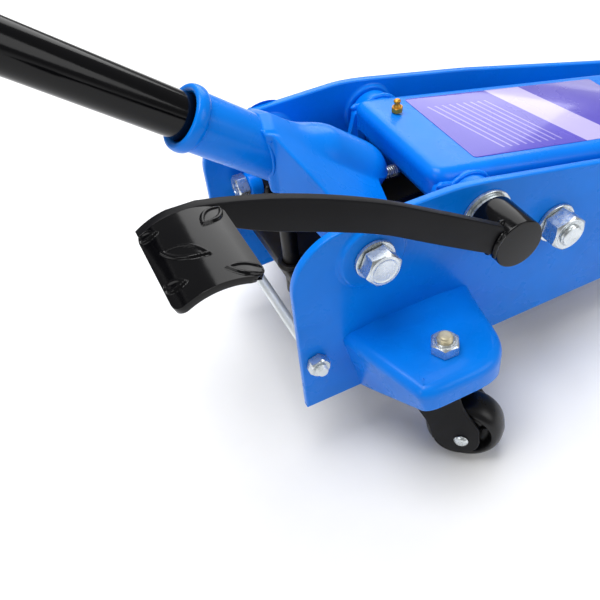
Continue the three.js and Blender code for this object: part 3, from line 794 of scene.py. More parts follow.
# Gloss black enamel, sprayed: sharp reflections.
GLOSS = Finish(
    "gloss_black_enamel", "gloss_black", "060608", "040406", (0.10, 0.17), peel=0.05, peel_mm=7, grain=0.02,
    mirror=0.24
)
# Bright zinc plate, passivated: silver with faint blue and straw clouds.
ZINC = Finish(
    "bright_zinc_plate", "zinc", "DDE2E4", "C6CCCE", (0.22, 0.34), metal=0.9, drift_mm=9, grain=0.04,
    grain_mm=1.6
)
# Yellow-passivated steel of the threaded ends: straw-coloured and dull.
STRAW = Finish(
    "straw_passivated_steel", "zinc", "D8CFB2", "BDB395", (0.38, 0.50), metal=0.5, drift_mm=5, grain=0.04,
    grain_mm=1.6
)
# Zinc-plated drawn rod: pale, even silver, softer than the plated nuts.
ROD_ZINC = Finish(
    "zinc_plated_rod", "zinc", "E6EAEC", "D6DCDE", (0.40, 0.50), metal=0.5, drift_mm=30, grain=0.02,
    grain_mm=1.6
)
# Drawn steel rod, plain: darker and streaky.
STEEL = Finish(
    "drawn_steel", "zinc", "A9ABAC", "8E9091", (0.25, 0.42), metal=1.0, drift_mm=14, grain=0.04,
    grain_mm=1.6
)
# Oxide-black iron of the hydraulic unit: dark, slightly brown, with oily patches. On the plunger rod this
# dark finish is painted shade.
IRON = Finish(
    "black_oxide_iron", "black_paint", "1A1512", "0D0C0C", (0.34, 0.50), drift_mm=18, grain=0.12,
    grain_mm=1.8, mirror=0.3
)
# Turned brass, unpolished.
BRASS = Finish("turned_brass", "brass", "D39A34", "B98227", (0.30, 0.42), metal=0.6, drift_mm=6, grain=0.04)
# Moulded rubber: matt and slightly pebbled.
RUBBER = Finish("moulded_rubber", "rubber", "19191A", "141415", (0.75, 0.9), grain=0.4, grain_mm=1.2)
# Moulded nylon, black: satin with flow marks.
NYLON = Finish(
    "moulded_nylon", "nylon", "0C0C0E", "08080A", (0.26, 0.36), drift_mm=25, grain=0.08, grain_mm=1.2,
    mirror=0.3
)
# Vinyl label under clear film.
VINYL = PrintedFilm(
    "violet_vinyl", "panel", "6258C4", "554CB4", (0.22, 0.30), drift_mm=80, grain=0.02, peel=0.04,
    peel_mm=9, coat=0.4
)


# ---------------------------------------------------------------- fasteners
@dataclass
class Fastener:
    """A bolt end, nut and washer stack across the jack, on the right at −y and mirrored on the left."""

    x: float
    z: float
    side: int

    def at(self, out: float) -> tuple[float, float, float]:
        """A point on the fastener's axis, that far out from the centre plane."""
        return (self.x, self.side * out, self.z)

    @property
    def outward(self) -> tuple[float, float, float]:
        """The direction away from the centre plane."""
        return (0.0, float(self.side), 0.0)

    def washer(self, shell: Shell, radius: float, hole: float, out: float, thick: float) -> Shell:
        """Adds a flat ring with broken edges.

        Args:
            shell: what it is added to.
            radius: outer radius.
            hole: inner radius.
            out: where its inner face lies.
            thick: its thickness.

        Returns:
            The shell.
        """
        e = 0.35
        ring = [
            [hole, 0], [radius - e, 0], [radius, e], [radius, thick - e], [radius - e, thick],
            [hole, thick], [hole, 0]
        ]
        return shell.lathe(ring, self.at(out), self.outward)


@dataclass
class Chassis:
    """Side plates, their cross members and the hardware that holds them together."""

    inner: float = 72.5
    outer: float = 78.5
    height: float = 141.5
    rear_radius: float = 37.0
    front: float = 590.0
    yoke: tuple[float, float] = (53.0, 116.0)
    pivot: tuple[float, float] = (134.5, 113.0)
    anchor: tuple[float, float] = (193.5, 81.5)
    tie: tuple[float, float] = (10.0, 43.5)
    axle: tuple[float, float] = (548.0, 3.0)
    tube: tuple[float, float] = (468.0, 12.0)
    tube_radius: float = 11.0
    shaft_radius: float = 11.0
    shaft_ends: tuple[float, float] = (-107.5, 100.5)
    axle_radius: float = 9.0
    axle_half: float = 124.5
    tie_radius: float = 3.7
    tie_half: float = 76.0
    yoke_head: tuple[float, float] = (21.5, 10.0)
    yoke_ring: tuple[float, float] = (13.4, 8.6)
    anchor_ring: tuple[float, float] = (14.5, 8.4)
    anchor_nut: tuple[float, float] = (24.0, 13.0)
    tie_nut: tuple[float, float] = (13.5, 7.0)
    axle_nut: tuple[float, float] = (27.0, 9.0)
    shaft_nut: tuple[float, float] = (30.0, 12.0)

    def outline(self) -> Array:
        """The side plate's outline in x and z.

        Returns:
            The closed outline.
        """
        f, a = self.front, self.axle[1]
        parts = [
            [[0.0, 0.0]],
            rounded([[250, 0], [320, 0], [490, a - 20], [530, a - 20]], 18, 5)[1:-1],
            arc((f - 26, a + 6), 26, -90, 0, 14),
            arc((f - 26, 36), 26, 0, 90, 14),
            rounded(
                [
                    [460, 62], [442, 62], [400, 71.6], [224, 117.5], [130, 138.4], [112, 141.2],
                    [80, self.height]
                ],
                8, 4
            )[1:-1],
            arc((self.rear_radius, self.height - self.rear_radius), self.rear_radius, 90, 180, 24),
        ]
        return np.vstack(parts)

    def plate(self, name: str, side: int) -> None:
        """One side plate with its raised boss and the weld-softened ring round it.

        Args:
            name: right or left.
            side: −1 or 1.
        """
        shell = Shell().wall(self.outline(), side, self.inner, self.outer, edge=1.3, steps=4)
        out = (0.0, float(side), 0.0)
        boss = rounded(
            [[27.5, -0.6], [23.4, 0.3], [21.6, 3.0], [18, 3.0], [0, 3.0]], [0, 1.5, 1.2, 0.5, 0], 5
        )
        shell.lathe(boss, (self.yoke[0], side * self.outer, self.yoke[1]), out)
        inside = rounded([[23, -0.4], [20, 0.2], [18.6, 2.4], [16, 2.4], [0, 2.4]], 1.2, 4)
        for at in (self.yoke, self.pivot, self.anchor):
            shell.lathe(inside, (at[0], side * self.inner, at[1]), (0.0, -float(side), 0.0))
        shell.piece(f"plate_{name}", BLUE, "chassis", [f"side_plate_{name}"])

    def bolts(self, name: str, side: int) -> None:
        """The zinc-plated hardware of one side.

        Args:
            name: right or left.
            side: −1 or 1.
        """
        yoke = Fastener(*self.yoke, side)
        face = self.outer + 3.3
        ring = yoke.washer(Shell(), *self.yoke_ring, face, 2.6)
        ring.piece(f"yoke_washer_ring_{name}", ZINC, "chassis", [f"yoke_washer_{name}"])
        head = hex_shape(Shell(), *self.yoke_head, yoke.at(face + 3.3), yoke.outward, 8)
        dish = rounded([[9.6, 9.95], [8.8, 10.25], [7.6, 10.0], [0, 9.9]], 0.5, 4)
        head.lathe(dish, yoke.at(face + 3.3), yoke.outward)
        head.rod(8, (0, -24), yoke.at(face + 3.3), yoke.outward, sides=40)
        head.piece(f"yoke_bolt_head_{name}", ZINC, "chassis", [f"yoke_bolt_{name}"])
        anchor = Fastener(*self.anchor, side)
        ring = anchor.washer(Shell(), *self.anchor_ring, self.outer + 0.3, 2.5)
        ring.piece(f"anchor_washer_ring_{name}", ZINC, "chassis", [f"anchor_washer_{name}"])
        nut = self.nut(anchor, *self.anchor_nut, self.outer + 3.1, 8.2, 20)
        nut.piece(f"anchor_nut_hex_{name}", ZINC, "chassis", [f"anchor_nut_{name}"])
        bolt = screw(Shell(), 8, 5.2, anchor.at(self.outer + 13.6), anchor.outward, 1.6)
        bolt.rod(7.9, (0, 36), anchor.at(57.5), anchor.outward, sides=48)
        bolt.rod(11, (0, 4), anchor.at(57), anchor.outward, 0.8, 5, 48)
        bolt.piece(f"anchor_bolt_shank_{name}", ZINC, "chassis", [f"anchor_bolt_{name}"])
        tie = Fastener(*self.tie, side)
        nut = self.nut(tie, *self.tie_nut, self.outer + 0.3, 4.1, 17)
        nut.piece(f"tie_nut_hex_{name}", ZINC, "chassis", [f"tie_nut_{name}"])
        axle = Fastener(*self.axle, side)
        nut = self.nut(axle, *self.axle_nut, self.outer + 35.6, 9.1, 0)
        nut.piece(f"axle_nut_hex_{name}", ZINC, "chassis", [f"axle_nut_{name}"])

    def nut(
        self, where: Fastener, flats: float, height: float, out: float, hole: float, turn: float
    ) -> Shell:
        """A chamfered nut: the hexagon with a countersunk ring round the thread.

        Args:
            where: the fastener that it belongs to.
            flats: size across flats.
            height: how tall it is.
            out: where its inner face lies.
            hole: radius of the thread.
            turn: its turn in degrees.

        Returns:
            The nut.
        """
        shell = hex_shape(Shell(), flats, height, where.at(out), where.outward, turn)
        sink = [[hole + flats * 0.07, height + 0.12], [hole + 0.3, height + 0.12], [hole, height - 0.6]]
        return shell.lathe(sink + [[hole - 0.4, height - 0.6]], where.at(out), where.outward)

    def cross_members(self) -> None:
        """Tie rod, shaft, axle and tube that run from plate to plate."""
        tie = Shell().rod(self.tie_radius, (-self.tie_half, self.tie_half), mid(self.tie), ACROSS, sides=40)
        for _, side in SIDES:
            end = Fastener(*self.tie, side)
            screw(tie, 4, 13.5, end.at(self.tie_half), end.outward, 1.2)
        tie.piece("tie_rod", ROD_ZINC, "chassis", ["rear_tie_rod"])
        made = Shell().rod(self.shaft_radius, self.shaft_ends, mid(self.pivot), ACROSS, edge=0.8)
        made.piece("pivot_shaft", STEEL, "chassis", ["arm_shaft"])
        left = Fastener(*self.pivot, LEFT)
        nut = self.nut(left, *self.shaft_nut, self.outer + 3.3, 11.1, 10)
        left.washer(nut, 18, 11, self.outer + 0.3, 4)
        nut.piece("pivot_nut", ZINC, "chassis", ["shaft_nut"])
        right = Fastener(*self.pivot, RIGHT)
        spacer = right.washer(Shell(), 18, 11.2, self.outer + 0.3, 2.4)
        right.washer(spacer, 15.2, 11.2, self.outer + 2.9, 2.4)
        spacer.piece("pedal_washers", ZINC, "chassis", ["pedal_spacer"])
        made = Shell().rod(
            self.axle_radius, (-self.axle_half, self.axle_half), mid(self.axle), ACROSS, edge=1.0
        )
        made.piece("axle", STEEL, "chassis", ["front_axle"])
        end = self.inner + 0.1
        tube = Shell().rod(self.tube_radius, (-end, end), mid(self.tube), ACROSS)
        for _, side in SIDES:
            ring = arc(self.tube, self.tube_radius + 1, 0, 360, 60)
            tube.bead(placed(ring, side * 71.6, Plane.XZ), 1.8, seed=5 + side)
        tube.piece("front_cross_tube", BLUE, "chassis", ["cross_tube"])

    def build(self) -> None:
        """Builds the whole chassis."""
        for name, side in SIDES:
            self.plate(name, side)
            self.bolts(name, side)
        self.cross_members()


@dataclass
class Caster:
    """One swivel caster: its stamped shelf on the side plate, stem, fork and wheel."""

    name: str
    side: int
    shelf: float = 57.0
    reach: float = 68.5
    sheet: float = 4.0
    corner: float = 7.0
    stem: tuple[float, float] = (80.0, 120.5)
    heading: tuple[float, float] = (0.729, 0.684)
    trail: float = 17.0
    wheel: float = 26.5
    width: float = 25.0
    axle_z: float = -12.5
    plate: float = 78.5
    nut: tuple[float, float] = (17.0, 8.0)
    spokes: int = 6

    def turned(self, p: Array) -> Array:
        """Points of the caster's own frame (trail along x, axle along y) turned to where it stands.

        Args:
            p: points of the caster's own frame.

        Returns:
            The same points on the jack.
        """
        c, s = self.heading
        x = self.stem[0] + c * p[:, 0] + s * p[:, 1]
        y = self.stem[1] + s * p[:, 0] - c * p[:, 1]
        return np.stack([x, self.side * y, p[:, 2]], 1)

    def shelf_piece(self) -> None:
        """The stamped shelf: a plan outline swept down, its top edge rolled.

        The back wall leans, and the skirt is cut slanting.
        """
        r = self.reach
        plan = [
            [30, -0.6], [32.5, 10], [45.5, r - 13], [49.5, r], [114.5, r - 0.5], [124.5, 10], [127, -0.6]
        ]
        line = evened(rounded(plan, [0, 7, 24, 17, 27, 12, 0], 14), 180)
        n = len(line)
        foot = np.stack([np.linspace(30 + self.corner, 127 - self.corner, n), np.full(n, -0.6)], 1)
        t = np.gradient(line, axis=0)
        normal = np.stack([-t[:, 1], t[:, 0]], 1) / np.linalg.norm(t, axis=1)[:, None]
        middle = np.array([78.0, 20.0])
        normal *= np.sign(((middle - line) * normal).sum(1))[:, None]
        back = smooth((62 - line[:, 0]) / 16)
        a = np.linspace(0, np.pi / 2, 8)
        cut = np.clip(line[:, 1], 0, None) * 0.58
        rows = []

        def level(flat: Array, z: Array) -> Array:
            """Plan points at a height, with the lean of the back wall and the fillet against the plate.

            Args:
                flat: plan points.
                z: their heights.

            Returns:
                Points with three coordinates.
            """
            lean = back * np.clip(52 - z, 0, None) * 0.2258
            hug = 1.8 * np.clip(
                1 - flat[:, 1] / 6, 0, 1
            ) ** 2 * smooth((flat[:, 0] - 40) / 16) * smooth((117 - flat[:, 0]) / 16)
            return np.stack(
                [flat[:, 0] + lean, self.side * (self.plate + flat[:, 1]), z + hug * (z > 50)], 1
            )

        edge = line + normal * self.corner
        for s in np.linspace(0, 1, 9)[:-1]:
            rows.append(level(foot * (1 - s) + edge * s, np.full(n, self.shelf)))
        for angle in a:
            flat = line + normal * self.corner * (1 - math.sin(angle))
            rows.append(level(flat, np.full(n, self.shelf - self.corner * (1 - math.cos(angle)))))
        top = self.shelf - self.corner
        for s in np.linspace(0, 1, 12)[1:]:
            z = top + (np.minimum(cut, top - 4) - top) * s
            rows.append(level(line, z))
        shell = Shell().grid(np.array(rows))
        made = shell.piece(
            f"caster_shelf_{self.name}", BLUE, "chassis", [f"caster_bracket_{self.name}"], sharp=50
        )
        thickened(made, self.sheet, 0.5)

    def stem_piece(self) -> None:
        """The nut and threaded stem on the shelf."""
        at = (self.stem[0], self.side * self.stem[1], self.shelf + 0.3)
        shell = hex_shape(Shell(), *self.nut, at, UP, 32 * self.side)
        shell.lathe([[6.6, 8.1], [6.0, 9.0], [5.6, 9.0], [5.2, 7.6], [4.6, 7.4]], at, UP)
        shell.piece(f"caster_nut_{self.name}", ZINC, "chassis", [f"caster_stem_{self.name}"])
        stem = screw(Shell(), 5, 12.2, at, UP, 1.3)
        stem.lathe(
            rounded([[0, 11.9], [4.3, 11.9], [4.3, 12.3], [3.6, 12.9], [0, 12.9]], 0.3, 3), at, UP, 48
        )
        stem.rod(5, (-32, 0), at, UP, sides=40)
        stem.piece(f"caster_stem_end_{self.name}", STRAW, "chassis")

    def fork(self) -> None:
        """Two cheeks with rolled rims, the crown between them and the bearing race on top."""
        a, z = self.trail, self.axle_z
        inner, thick = self.width / 2 + 1, 3.0
        curl = rounded([[-14.5, 15], [-5, -2], [-2.5, z - 4]], [0, 14, 0], 12)
        bowl = arc((a - 3.5, z), 15.5, 194, 360, 28)
        outline = np.vstack(
            [
                [[-12.5, 40]], [[-13.5, 30]], curl, bowl,
                rounded([[28, 0], [17, 18], [13.5, 30], [12.5, 40]], 6, 4)
            ]
        )
        shell = Shell()
        for k in (-1, 1):
            shell.wall(outline, k, inner, inner + thick, edge=0.9)
        crown = rectangle((-13.5, 13.5), (-16, 16), 6, 6)
        shell.slab(crown, 39, 44.5, Plane.XY, edge=1.6)
        race = rounded(
            [
                [0, 43.5], [15, 43.5], [16.6, 45], [16.6, 47], [15, 48.4], [12, 48.4], [11.4, 52.4],
                [0, 52.4]
            ],
            0.8, 4
        )
        shell.lathe(race, (0, 0, 0), UP)
        shell.points = [self.turned(p) for p in shell.points]
        body = f"caster_{self.name}"
        shell.piece(f"fork_{self.name}", POWDER, body, [f"caster_fork_{self.name}"])
        w = inner + thick + 0.3
        dome = rounded(
            [[0, -w - 2.6], [3.4, -w - 2.3], [4.9, -w - 0.6], [4.9, -w], [4, -w]], [0, 1.5, 1, 0.2, 0], 5
        )
        rivet = np.vstack([dome, dome[::-1] * [1, -1]])
        pin = Shell().lathe(rivet, (a, 0, z), ACROSS, 48)
        pin.points = [self.turned(p) for p in pin.points]
        pin.piece(f"rivet_{self.name}", ZINC, body, [f"caster_rivet_{self.name}"])

    def roller(self) -> None:
        """The moulded wheel: barrel tread, a rim each side, a dished web and a hub."""
        r, h = self.wheel, self.width / 2
        half = [
            [4.3, h], [8.6, h], [9.6, h - 0.8], [11, 5.2], [r - 10, 4.6], [r - 7.6, h - 1.4],
            [r - 6.6, h - 0.5], [r - 4.4, h - 1.0], [r - 1.2, h - 4.6], [r, 0]
        ]
        soft = rounded(half, [0, 0.5, 0.8, 2.0, 2.4, 0.7, 0.6, 1.2, 4.0, 0], 5)
        ring = both_faces(soft)
        shell = Shell().lathe(ring, (self.trail, 0, self.axle_z), ACROSS, 96)
        for k in range(self.spokes):
            turn = math.radians(360 / self.spokes * k + 12)
            for y in (-1, 1):
                d = np.array([math.cos(turn), 0, math.sin(turn)])
                hub = np.array([self.trail, y * 5.4, self.axle_z])
                path = np.stack([hub + d * 9.0, hub + d * (r - 8.6)])
                shell.tube(evened(path, 6), 1.7, 10)
        shell.points = [self.turned(p) for p in shell.points]
        shell.piece(f"roller_{self.name}", NYLON, f"caster_roll_{self.name}", [f"caster_wheel_{self.name}"])

    def build(self) -> None:
        """Builds the caster."""
        self.shelf_piece()
        self.stem_piece()
        self.fork()
        self.roller()


@dataclass
class Handle:
    """The two-part handle tube and its rubber grip; d runs up the handle from the foot of the yoke's
    pivot."""

    degrees: float = 39.7
    tube: float = 13.8
    above: float = 13.2
    start: float = 21.3
    split: float = 561.3
    length: float = 1060.0
    pivot: tuple[float, float] = (53.0, 116.0)

    @property
    def up(self) -> Array:
        """Unit vector along the handle."""
        a = math.radians(self.degrees)
        return np.array([-math.cos(a), 0.0, math.sin(a)])

    @property
    def over(self) -> Array:
        """Unit vector square to the handle, upwards."""
        a = math.radians(self.degrees)
        return np.array([math.sin(a), 0.0, math.cos(a)])

    def on_axis(self, d: Array, o: Array | float = 0.0, y: Array | float = 0.0) -> Array:
        """Points d along the handle's axis, o above it and y to the left.

        Args:
            d: distance up the handle.
            o: distance over its axis.
            y: distance to the left.

        Returns:
            The points.
        """
        d, o, y = np.broadcast_arrays(np.asarray(d, float), o, y)
        foot = np.array([self.pivot[0], 0.0, self.pivot[1]])
        out = foot + d[..., None] * self.up + (self.above + o)[..., None] * self.over
        out[..., 1] = y
        return out

    def build(self) -> None:
        """Builds the tubes and the grip."""
        foot = self.on_axis(0.0)
        r, s, e = self.tube, self.split, self.length
        low = rounded(
            [[r - 3, self.start], [r, self.start], [r, s], [r - 3, s], [r - 3, self.start]], 0.8, 4
        )
        Shell().lathe(low, foot, self.up, 96).piece("handle_tube_lower", GLOSS, "handle", ["handle_lower"])
        inner = r - 3.3
        high = [
            [inner - 2.5, s - 90], [inner, s - 88], [inner, s + 1], [r - 1, s + 1.4], [r, s + 2.6],
            [r, e - 130], [r - 3, e - 129.5], [r - 3, e - 4], [0, e - 4]
        ]
        shell = Shell().lathe([[0, s - 90], *high], foot, self.up, 96)
        shell.piece("handle_tube_upper", GLOSS, "handle", ["handle_upper"])
        a, g = e - 129.7, r + 2.5
        d = np.linspace(a + 10, e - 14, 220)
        wave = g - 0.9 * (0.5 + 0.5 * np.cos((d - d[0]) / 6.0 * 2 * np.pi)) ** 3
        ends = [[r - 2.7, a], [g + 0.4, a], [g + 0.8, a + 3], [g, a + 8]]
        tip = [[g, e - 10], [g + 0.6, e - 5], [g - 3, e], [0, e]]
        skin = np.vstack(
            [
                rounded(ends, [0, 1, 1.5, 0], 5), np.stack([wave, d], 1), rounded(tip, [0, 2, 3, 0], 6),
                [[0, e - 3.6], [r - 2.7, e - 3.6], [r - 2.7, a]]
            ]
        )
        Shell().lathe(skin, foot, self.up, 72).piece("grip", RUBBER, "handle", ["handle_grip"])


@dataclass
class Yoke:
    """The welded handle yoke: socket tube with a rolled lip, the bent hood over it and two ears on the
    pivot bolts."""

    handle: Handle = field(default_factory=Handle)
    socket: float = 17.8
    top: float = 112.0
    sheet: float = 5.0
    half: float = 69.0

    def roof(self, d: Array, y: Array) -> Array:
        """Height of the hood over the handle's axis.

        The flanks fall 0.312 per millimetre sideways from a ridge at 21.8. The hump is a circle of radius r
        centred c over the axis, domed ahead of d = −20; the two meet as k·ln(e^(a/k) + e^(b/k)).

        Args:
            d: distance up the handle from the pivot's foot.
            y: distance to the left of the centre plane.

        Returns:
            The height of each point.
        """
        side = np.abs(y)
        flank = 21.8 - 0.312 * side
        t = smooth((48 - d) / 38)
        r = 21.7 + 1.2 * t
        c = 6.6 * t - 3.2 * (1 - t)
        q = np.clip((-d - 20) / 24.6, 0, 0.999)
        width = r * np.sqrt(1 - q * q)
        across = np.minimum(side * r / np.maximum(width, 3.0), r + 14)
        round_off = r - np.sqrt(np.clip(r * r - across**2, 0, None)) + 2.0 * np.clip(across - r, 0, None)
        hump = c + r - 17.0 * (1 - np.sqrt(1 - q * q)) - round_off
        k = 1.9
        return k * np.logaddexp(flank / k, hump / k) - 0.4 * np.clip(1 - np.abs(d - 62) / 20, 0, 1)

    def hood(self) -> Shell:
        """The bent sheet in rows from its front rim over the roof, round the bend and down the cheek.

        Each bend is the curve (1−t)²a + 2t(1−t)p + t²b between a row before it, its edge and a row after it.

        Returns:
            The open sheet.
        """
        y = np.linspace(-self.half, self.half, 185)
        side = np.abs(y)
        nose = -20 - 23.0 * np.sqrt(np.clip(1 - (side / 21.6) ** 2, 0, 1))
        front = np.minimum(-26.0, nose)
        back = 68.0 - np.clip(side - 14, 0, None) * 0.867
        rim = 4.0 + 17.0 * smooth((26 - side) / 8)
        ground = 3.4 * smooth((19 - side) / 4)

        def top(d: Array) -> Array:
            """Points of the roof, ground down to the tube at its rear edge."""
            return self.handle.on_axis(d, self.roof(d, y) - ground * smooth((d - back + 8) / 8), y)

        def bend(before: Array, edge: Array, after: Array) -> list[Array]:
            """Rows of a rounded bend."""
            return [
                (1 - t) ** 2 * before + 2 * t * (1 - t) * edge + t**2 * after for t in np.linspace(0, 1, 9)
            ]

        down = -self.handle.over + 0.06 * self.handle.up
        lip = top(front)
        rows = [lip + down * rim[:, None] * s for s in (1.0, 0.7, 0.4)]
        rows += bend(lip + down * 1.2, lip, top(front + 1.2))
        for s in np.linspace(0, 1, 90) ** 1.5:
            rows.append(top(front + 1.4 + (back - 3.4 - front - 1.4) * s))
        fold = top(back)
        drop = np.array([0, 0, 43.0])
        rows += bend(top(back - 3.0), fold, fold - drop * 0.07)
        for s in np.linspace(0.08, 1, 24):
            rows.append(fold - drop * s)
        return Shell().grid(np.array(rows).transpose(1, 0, 2))

    def seam(self) -> Array:
        """Where the cheek meets the socket: the axis distance at which the tube's circle reaches the
        cheek's plane.

        Returns:
            The points of the right-hand seam.
        """
        phi = np.radians(np.linspace(40, 128, 60))
        side, o = self.socket * np.sin(phi), self.socket * np.cos(phi)
        h, a = self.handle, math.radians(self.handle.degrees)
        cheek = 19.4 + 0.462 * np.clip(side - 14, -4, None)
        d = (h.pivot[0] + math.sin(a) * (h.above + o) - cheek) / math.cos(a)
        return h.on_axis(d, o, -side)

    def build(self) -> None:
        """Builds the hood, socket, ears and welds."""
        made = self.hood().piece("yoke_hood", BLUE, "yoke", ["handle_yoke"], sharp=70)
        thickened(made, self.sheet)
        foot, up = self.handle.on_axis(0.0), self.handle.up
        r, t = self.socket, self.top
        lip = [
            [r, t - 9.5], [r + 2.2, t - 7.5], [r + 2.5, t - 3.2], [r + 1.3, t - 0.3], [r - 1.2, t],
            [r - 3.2, t - 2.0], [r - 3.6, t - 8]
        ]
        wall = np.vstack(
            [[[r - 3.6, 20], [r, 20]], rounded(lip, [0, 1.6, 2.0, 1.2, 1.2, 1.2, 0], 6), [[r - 3.6, 20]]]
        )
        tube = Shell().lathe(wall, foot, up, 96)
        seam = self.seam()
        tube.bead(seam, 1.2, 3.0, 3)
        tube.bead(seam * [1, -1, 1], 1.2, 3.0, 4)
        tube.piece("yoke_socket", BLUE, "yoke", sharp=45)
        for name, side in SIDES:
            eye = arc(self.handle.pivot, 13, 75, 270, 30)
            ear = np.vstack(
                [
                    eye,
                    rounded(
                        [[53, 103], [66, 98], [82, 103], [84, 111], [72, 119], [60, 128]],
                        [0, 5, 4, 3, 4, 0], 5
                    )[1:-1]
                ]
            )
            Shell().wall(ear, side, 63.6, 69.3).piece(f"yoke_ear_{name}", BLUE, "yoke")


@dataclass
class Pedal:
    """The foot pedal: boss on the pivot shaft, curved flat bar and arched tread pad.

    Each of the pad's marks gives its share of the length and of the width, its turn in degrees, its
    half-length and its half-width.
    """

    out: float = 111.5
    bar: float = 6.0
    boss: float = 16.5
    pivot: tuple[float, float] = (134.5, 113.0)
    pad_radius: float = 36.0
    pad_centre: tuple[float, float] = (-59.5, 182.3)
    pad_width: float = 53.0
    pad_sheet: float = 3.5
    pad_corner: float = 4.5
    pad_arc: tuple[float, float] = (58.5, 124.5)
    marks: tuple[tuple[float, float, float, float, float], ...] = (
        (0.63, 0.50, 39, 12.2, 4.4),
        (0.17, 0.86, -44, 9.5, 4.2),
        (0.14, 0.09, 20, 10, 4.2),
        (0.90, 0.24, 20, 7, 3.4),
        (0.91, 0.92, 20, 6.5, 3.2),
    )

    def bar_outline(self) -> Array:
        """The bar's outline: two long curves that end on the pad's arch.

        Returns:
            The closed outline.
        """
        top = [
            [123, 130], [102.8, 143.2], [77.9, 158.7], [50, 176.5], [20.2, 192.0], [-11.2, 205.6],
            [-36, 213.6], [-50, 217.0]
        ]
        low = [[-46, 204.5], [-22.8, 190.2], [12.2, 174.7], [42.5, 160], [78.9, 135.8], [117.1, 111.4]]
        end = arc(self.pad_centre, self.pad_radius - 0.6, 97, 124, 14)
        inner = arc(self.pad_centre, self.pad_radius - 12, 118, 80, 10)
        line = np.vstack(
            [evened(rounded(top, 18, 6), 60), end, inner, evened(rounded(low, 14, 6), 50), [[134, 104]]]
        )
        return line[::-1]

    def lens(
        self, s: Array, y: Array, at: tuple[float, float], turn: float, size: tuple[float, float]
    ) -> Array:
        """A raised pointed oval of half-width w·(1 − (a/L)²): a rounded rim round a slightly sunk
        middle.

        Args:
            s: distance along the pad.
            y: distance across the jack.
            at: the middle of the mark.
            turn: its turn in degrees.
            size: half-length and half-width.

        Returns:
            Height of the mark, from 0 to 1.
        """
        c, k = math.cos(math.radians(turn)), math.sin(math.radians(turn))
        a, b = (s - at[0]) * c + (y - at[1]) * k, -(s - at[0]) * k + (y - at[1]) * c
        gap = size[1] * (1 - (a / size[0]) ** 2) - np.abs(b)
        return smooth(gap / 0.9 + 0.3) - 0.55 * smooth((gap - 1.3) / 1.0)

    def pad(self) -> None:
        """The tread pad: an arched sheet, radius R + 1.3·lens, its corners rounded and its front edge
        flared."""
        r, w = self.pad_radius, self.pad_width
        theta = np.radians(np.linspace(*self.pad_arc, 150))
        s = (theta - theta[0]) * r
        length = s[-1]
        corner = self.pad_corner
        near = np.clip(corner - np.minimum(s, length - s), 0, corner)
        trim = corner - np.sqrt(corner**2 - near**2)
        v = np.linspace(0, 1, 160)
        y0 = -self.out - 0.3 - w
        y = y0 + trim[:, None] + (w - 2 * trim[:, None]) * v[None, :]
        y = np.where(v[None, :] > 0.999, y0 + w - trim[:, None], y)
        grid_s = np.broadcast_to(s[:, None], y.shape)
        up = np.zeros(y.shape)
        for share, across, turn, long, wide in self.marks:
            up = np.maximum(up, self.lens(grid_s, y, (length * share, y0 + w * across), turn, (long, wide)))
        up *= smooth(np.minimum(s, length - s)[:, None] / 2.0) * smooth(
            np.minimum(y - y0, y0 + w - y) / 2.0
        )
        flare = np.clip(1 - s / 5, 0, 1)[:, None] ** 2 + 0.8 * np.clip(
            1 - (length - s) / 5, 0, 1
        )[:, None] ** 2
        radius = r + 1.2 * up + flare
        x = self.pad_centre[0] + radius * np.cos(theta)[:, None]
        z = self.pad_centre[1] + radius * np.sin(theta)[:, None]
        made = Shell().grid(np.stack([x, y, z], -1)).piece(
            "tread_pad", GLOSS, "pedal", ["pedal_pad"], sharp=60
        )
        thickened(made, self.pad_sheet, 0.5)

    def build(self) -> None:
        """Builds the boss, bar, pad and the weld between boss and bar."""
        low, high = -self.out, -self.out + self.bar
        Shell().slab(self.bar_outline(), low, high, Plane.XZ, edge=0.9).piece(
            "pedal_bar", POWDER, "pedal", ["pedal_arm"])
        at = mid(self.pivot)
        edge = rounded(
            [[0, 84.1], [self.boss, 84.1], [self.boss, self.out + 2], [0, self.out + 2]], [0, 1.0, 1.0, 0],
            5
        )
        shell = Shell().lathe(edge, at, (0, -1, 0), 96)
        ring = placed(arc(self.pivot, self.boss + 0.6, 128, 196, 50), -self.out - 0.2, Plane.XZ)
        shell.bead(ring, 2.2, 3.2, 8)
        behind = placed(
            arc(self.pivot, self.boss + 0.4, 112, 205, 50), -self.out + self.bar + 0.6, Plane.XZ
        )
        shell.bead(behind, 2.4, 3.2, 9)
        shell.piece("pedal_hub", GLOSS, "pedal", ["pedal_boss"], slot="black_paint")
        self.pad()


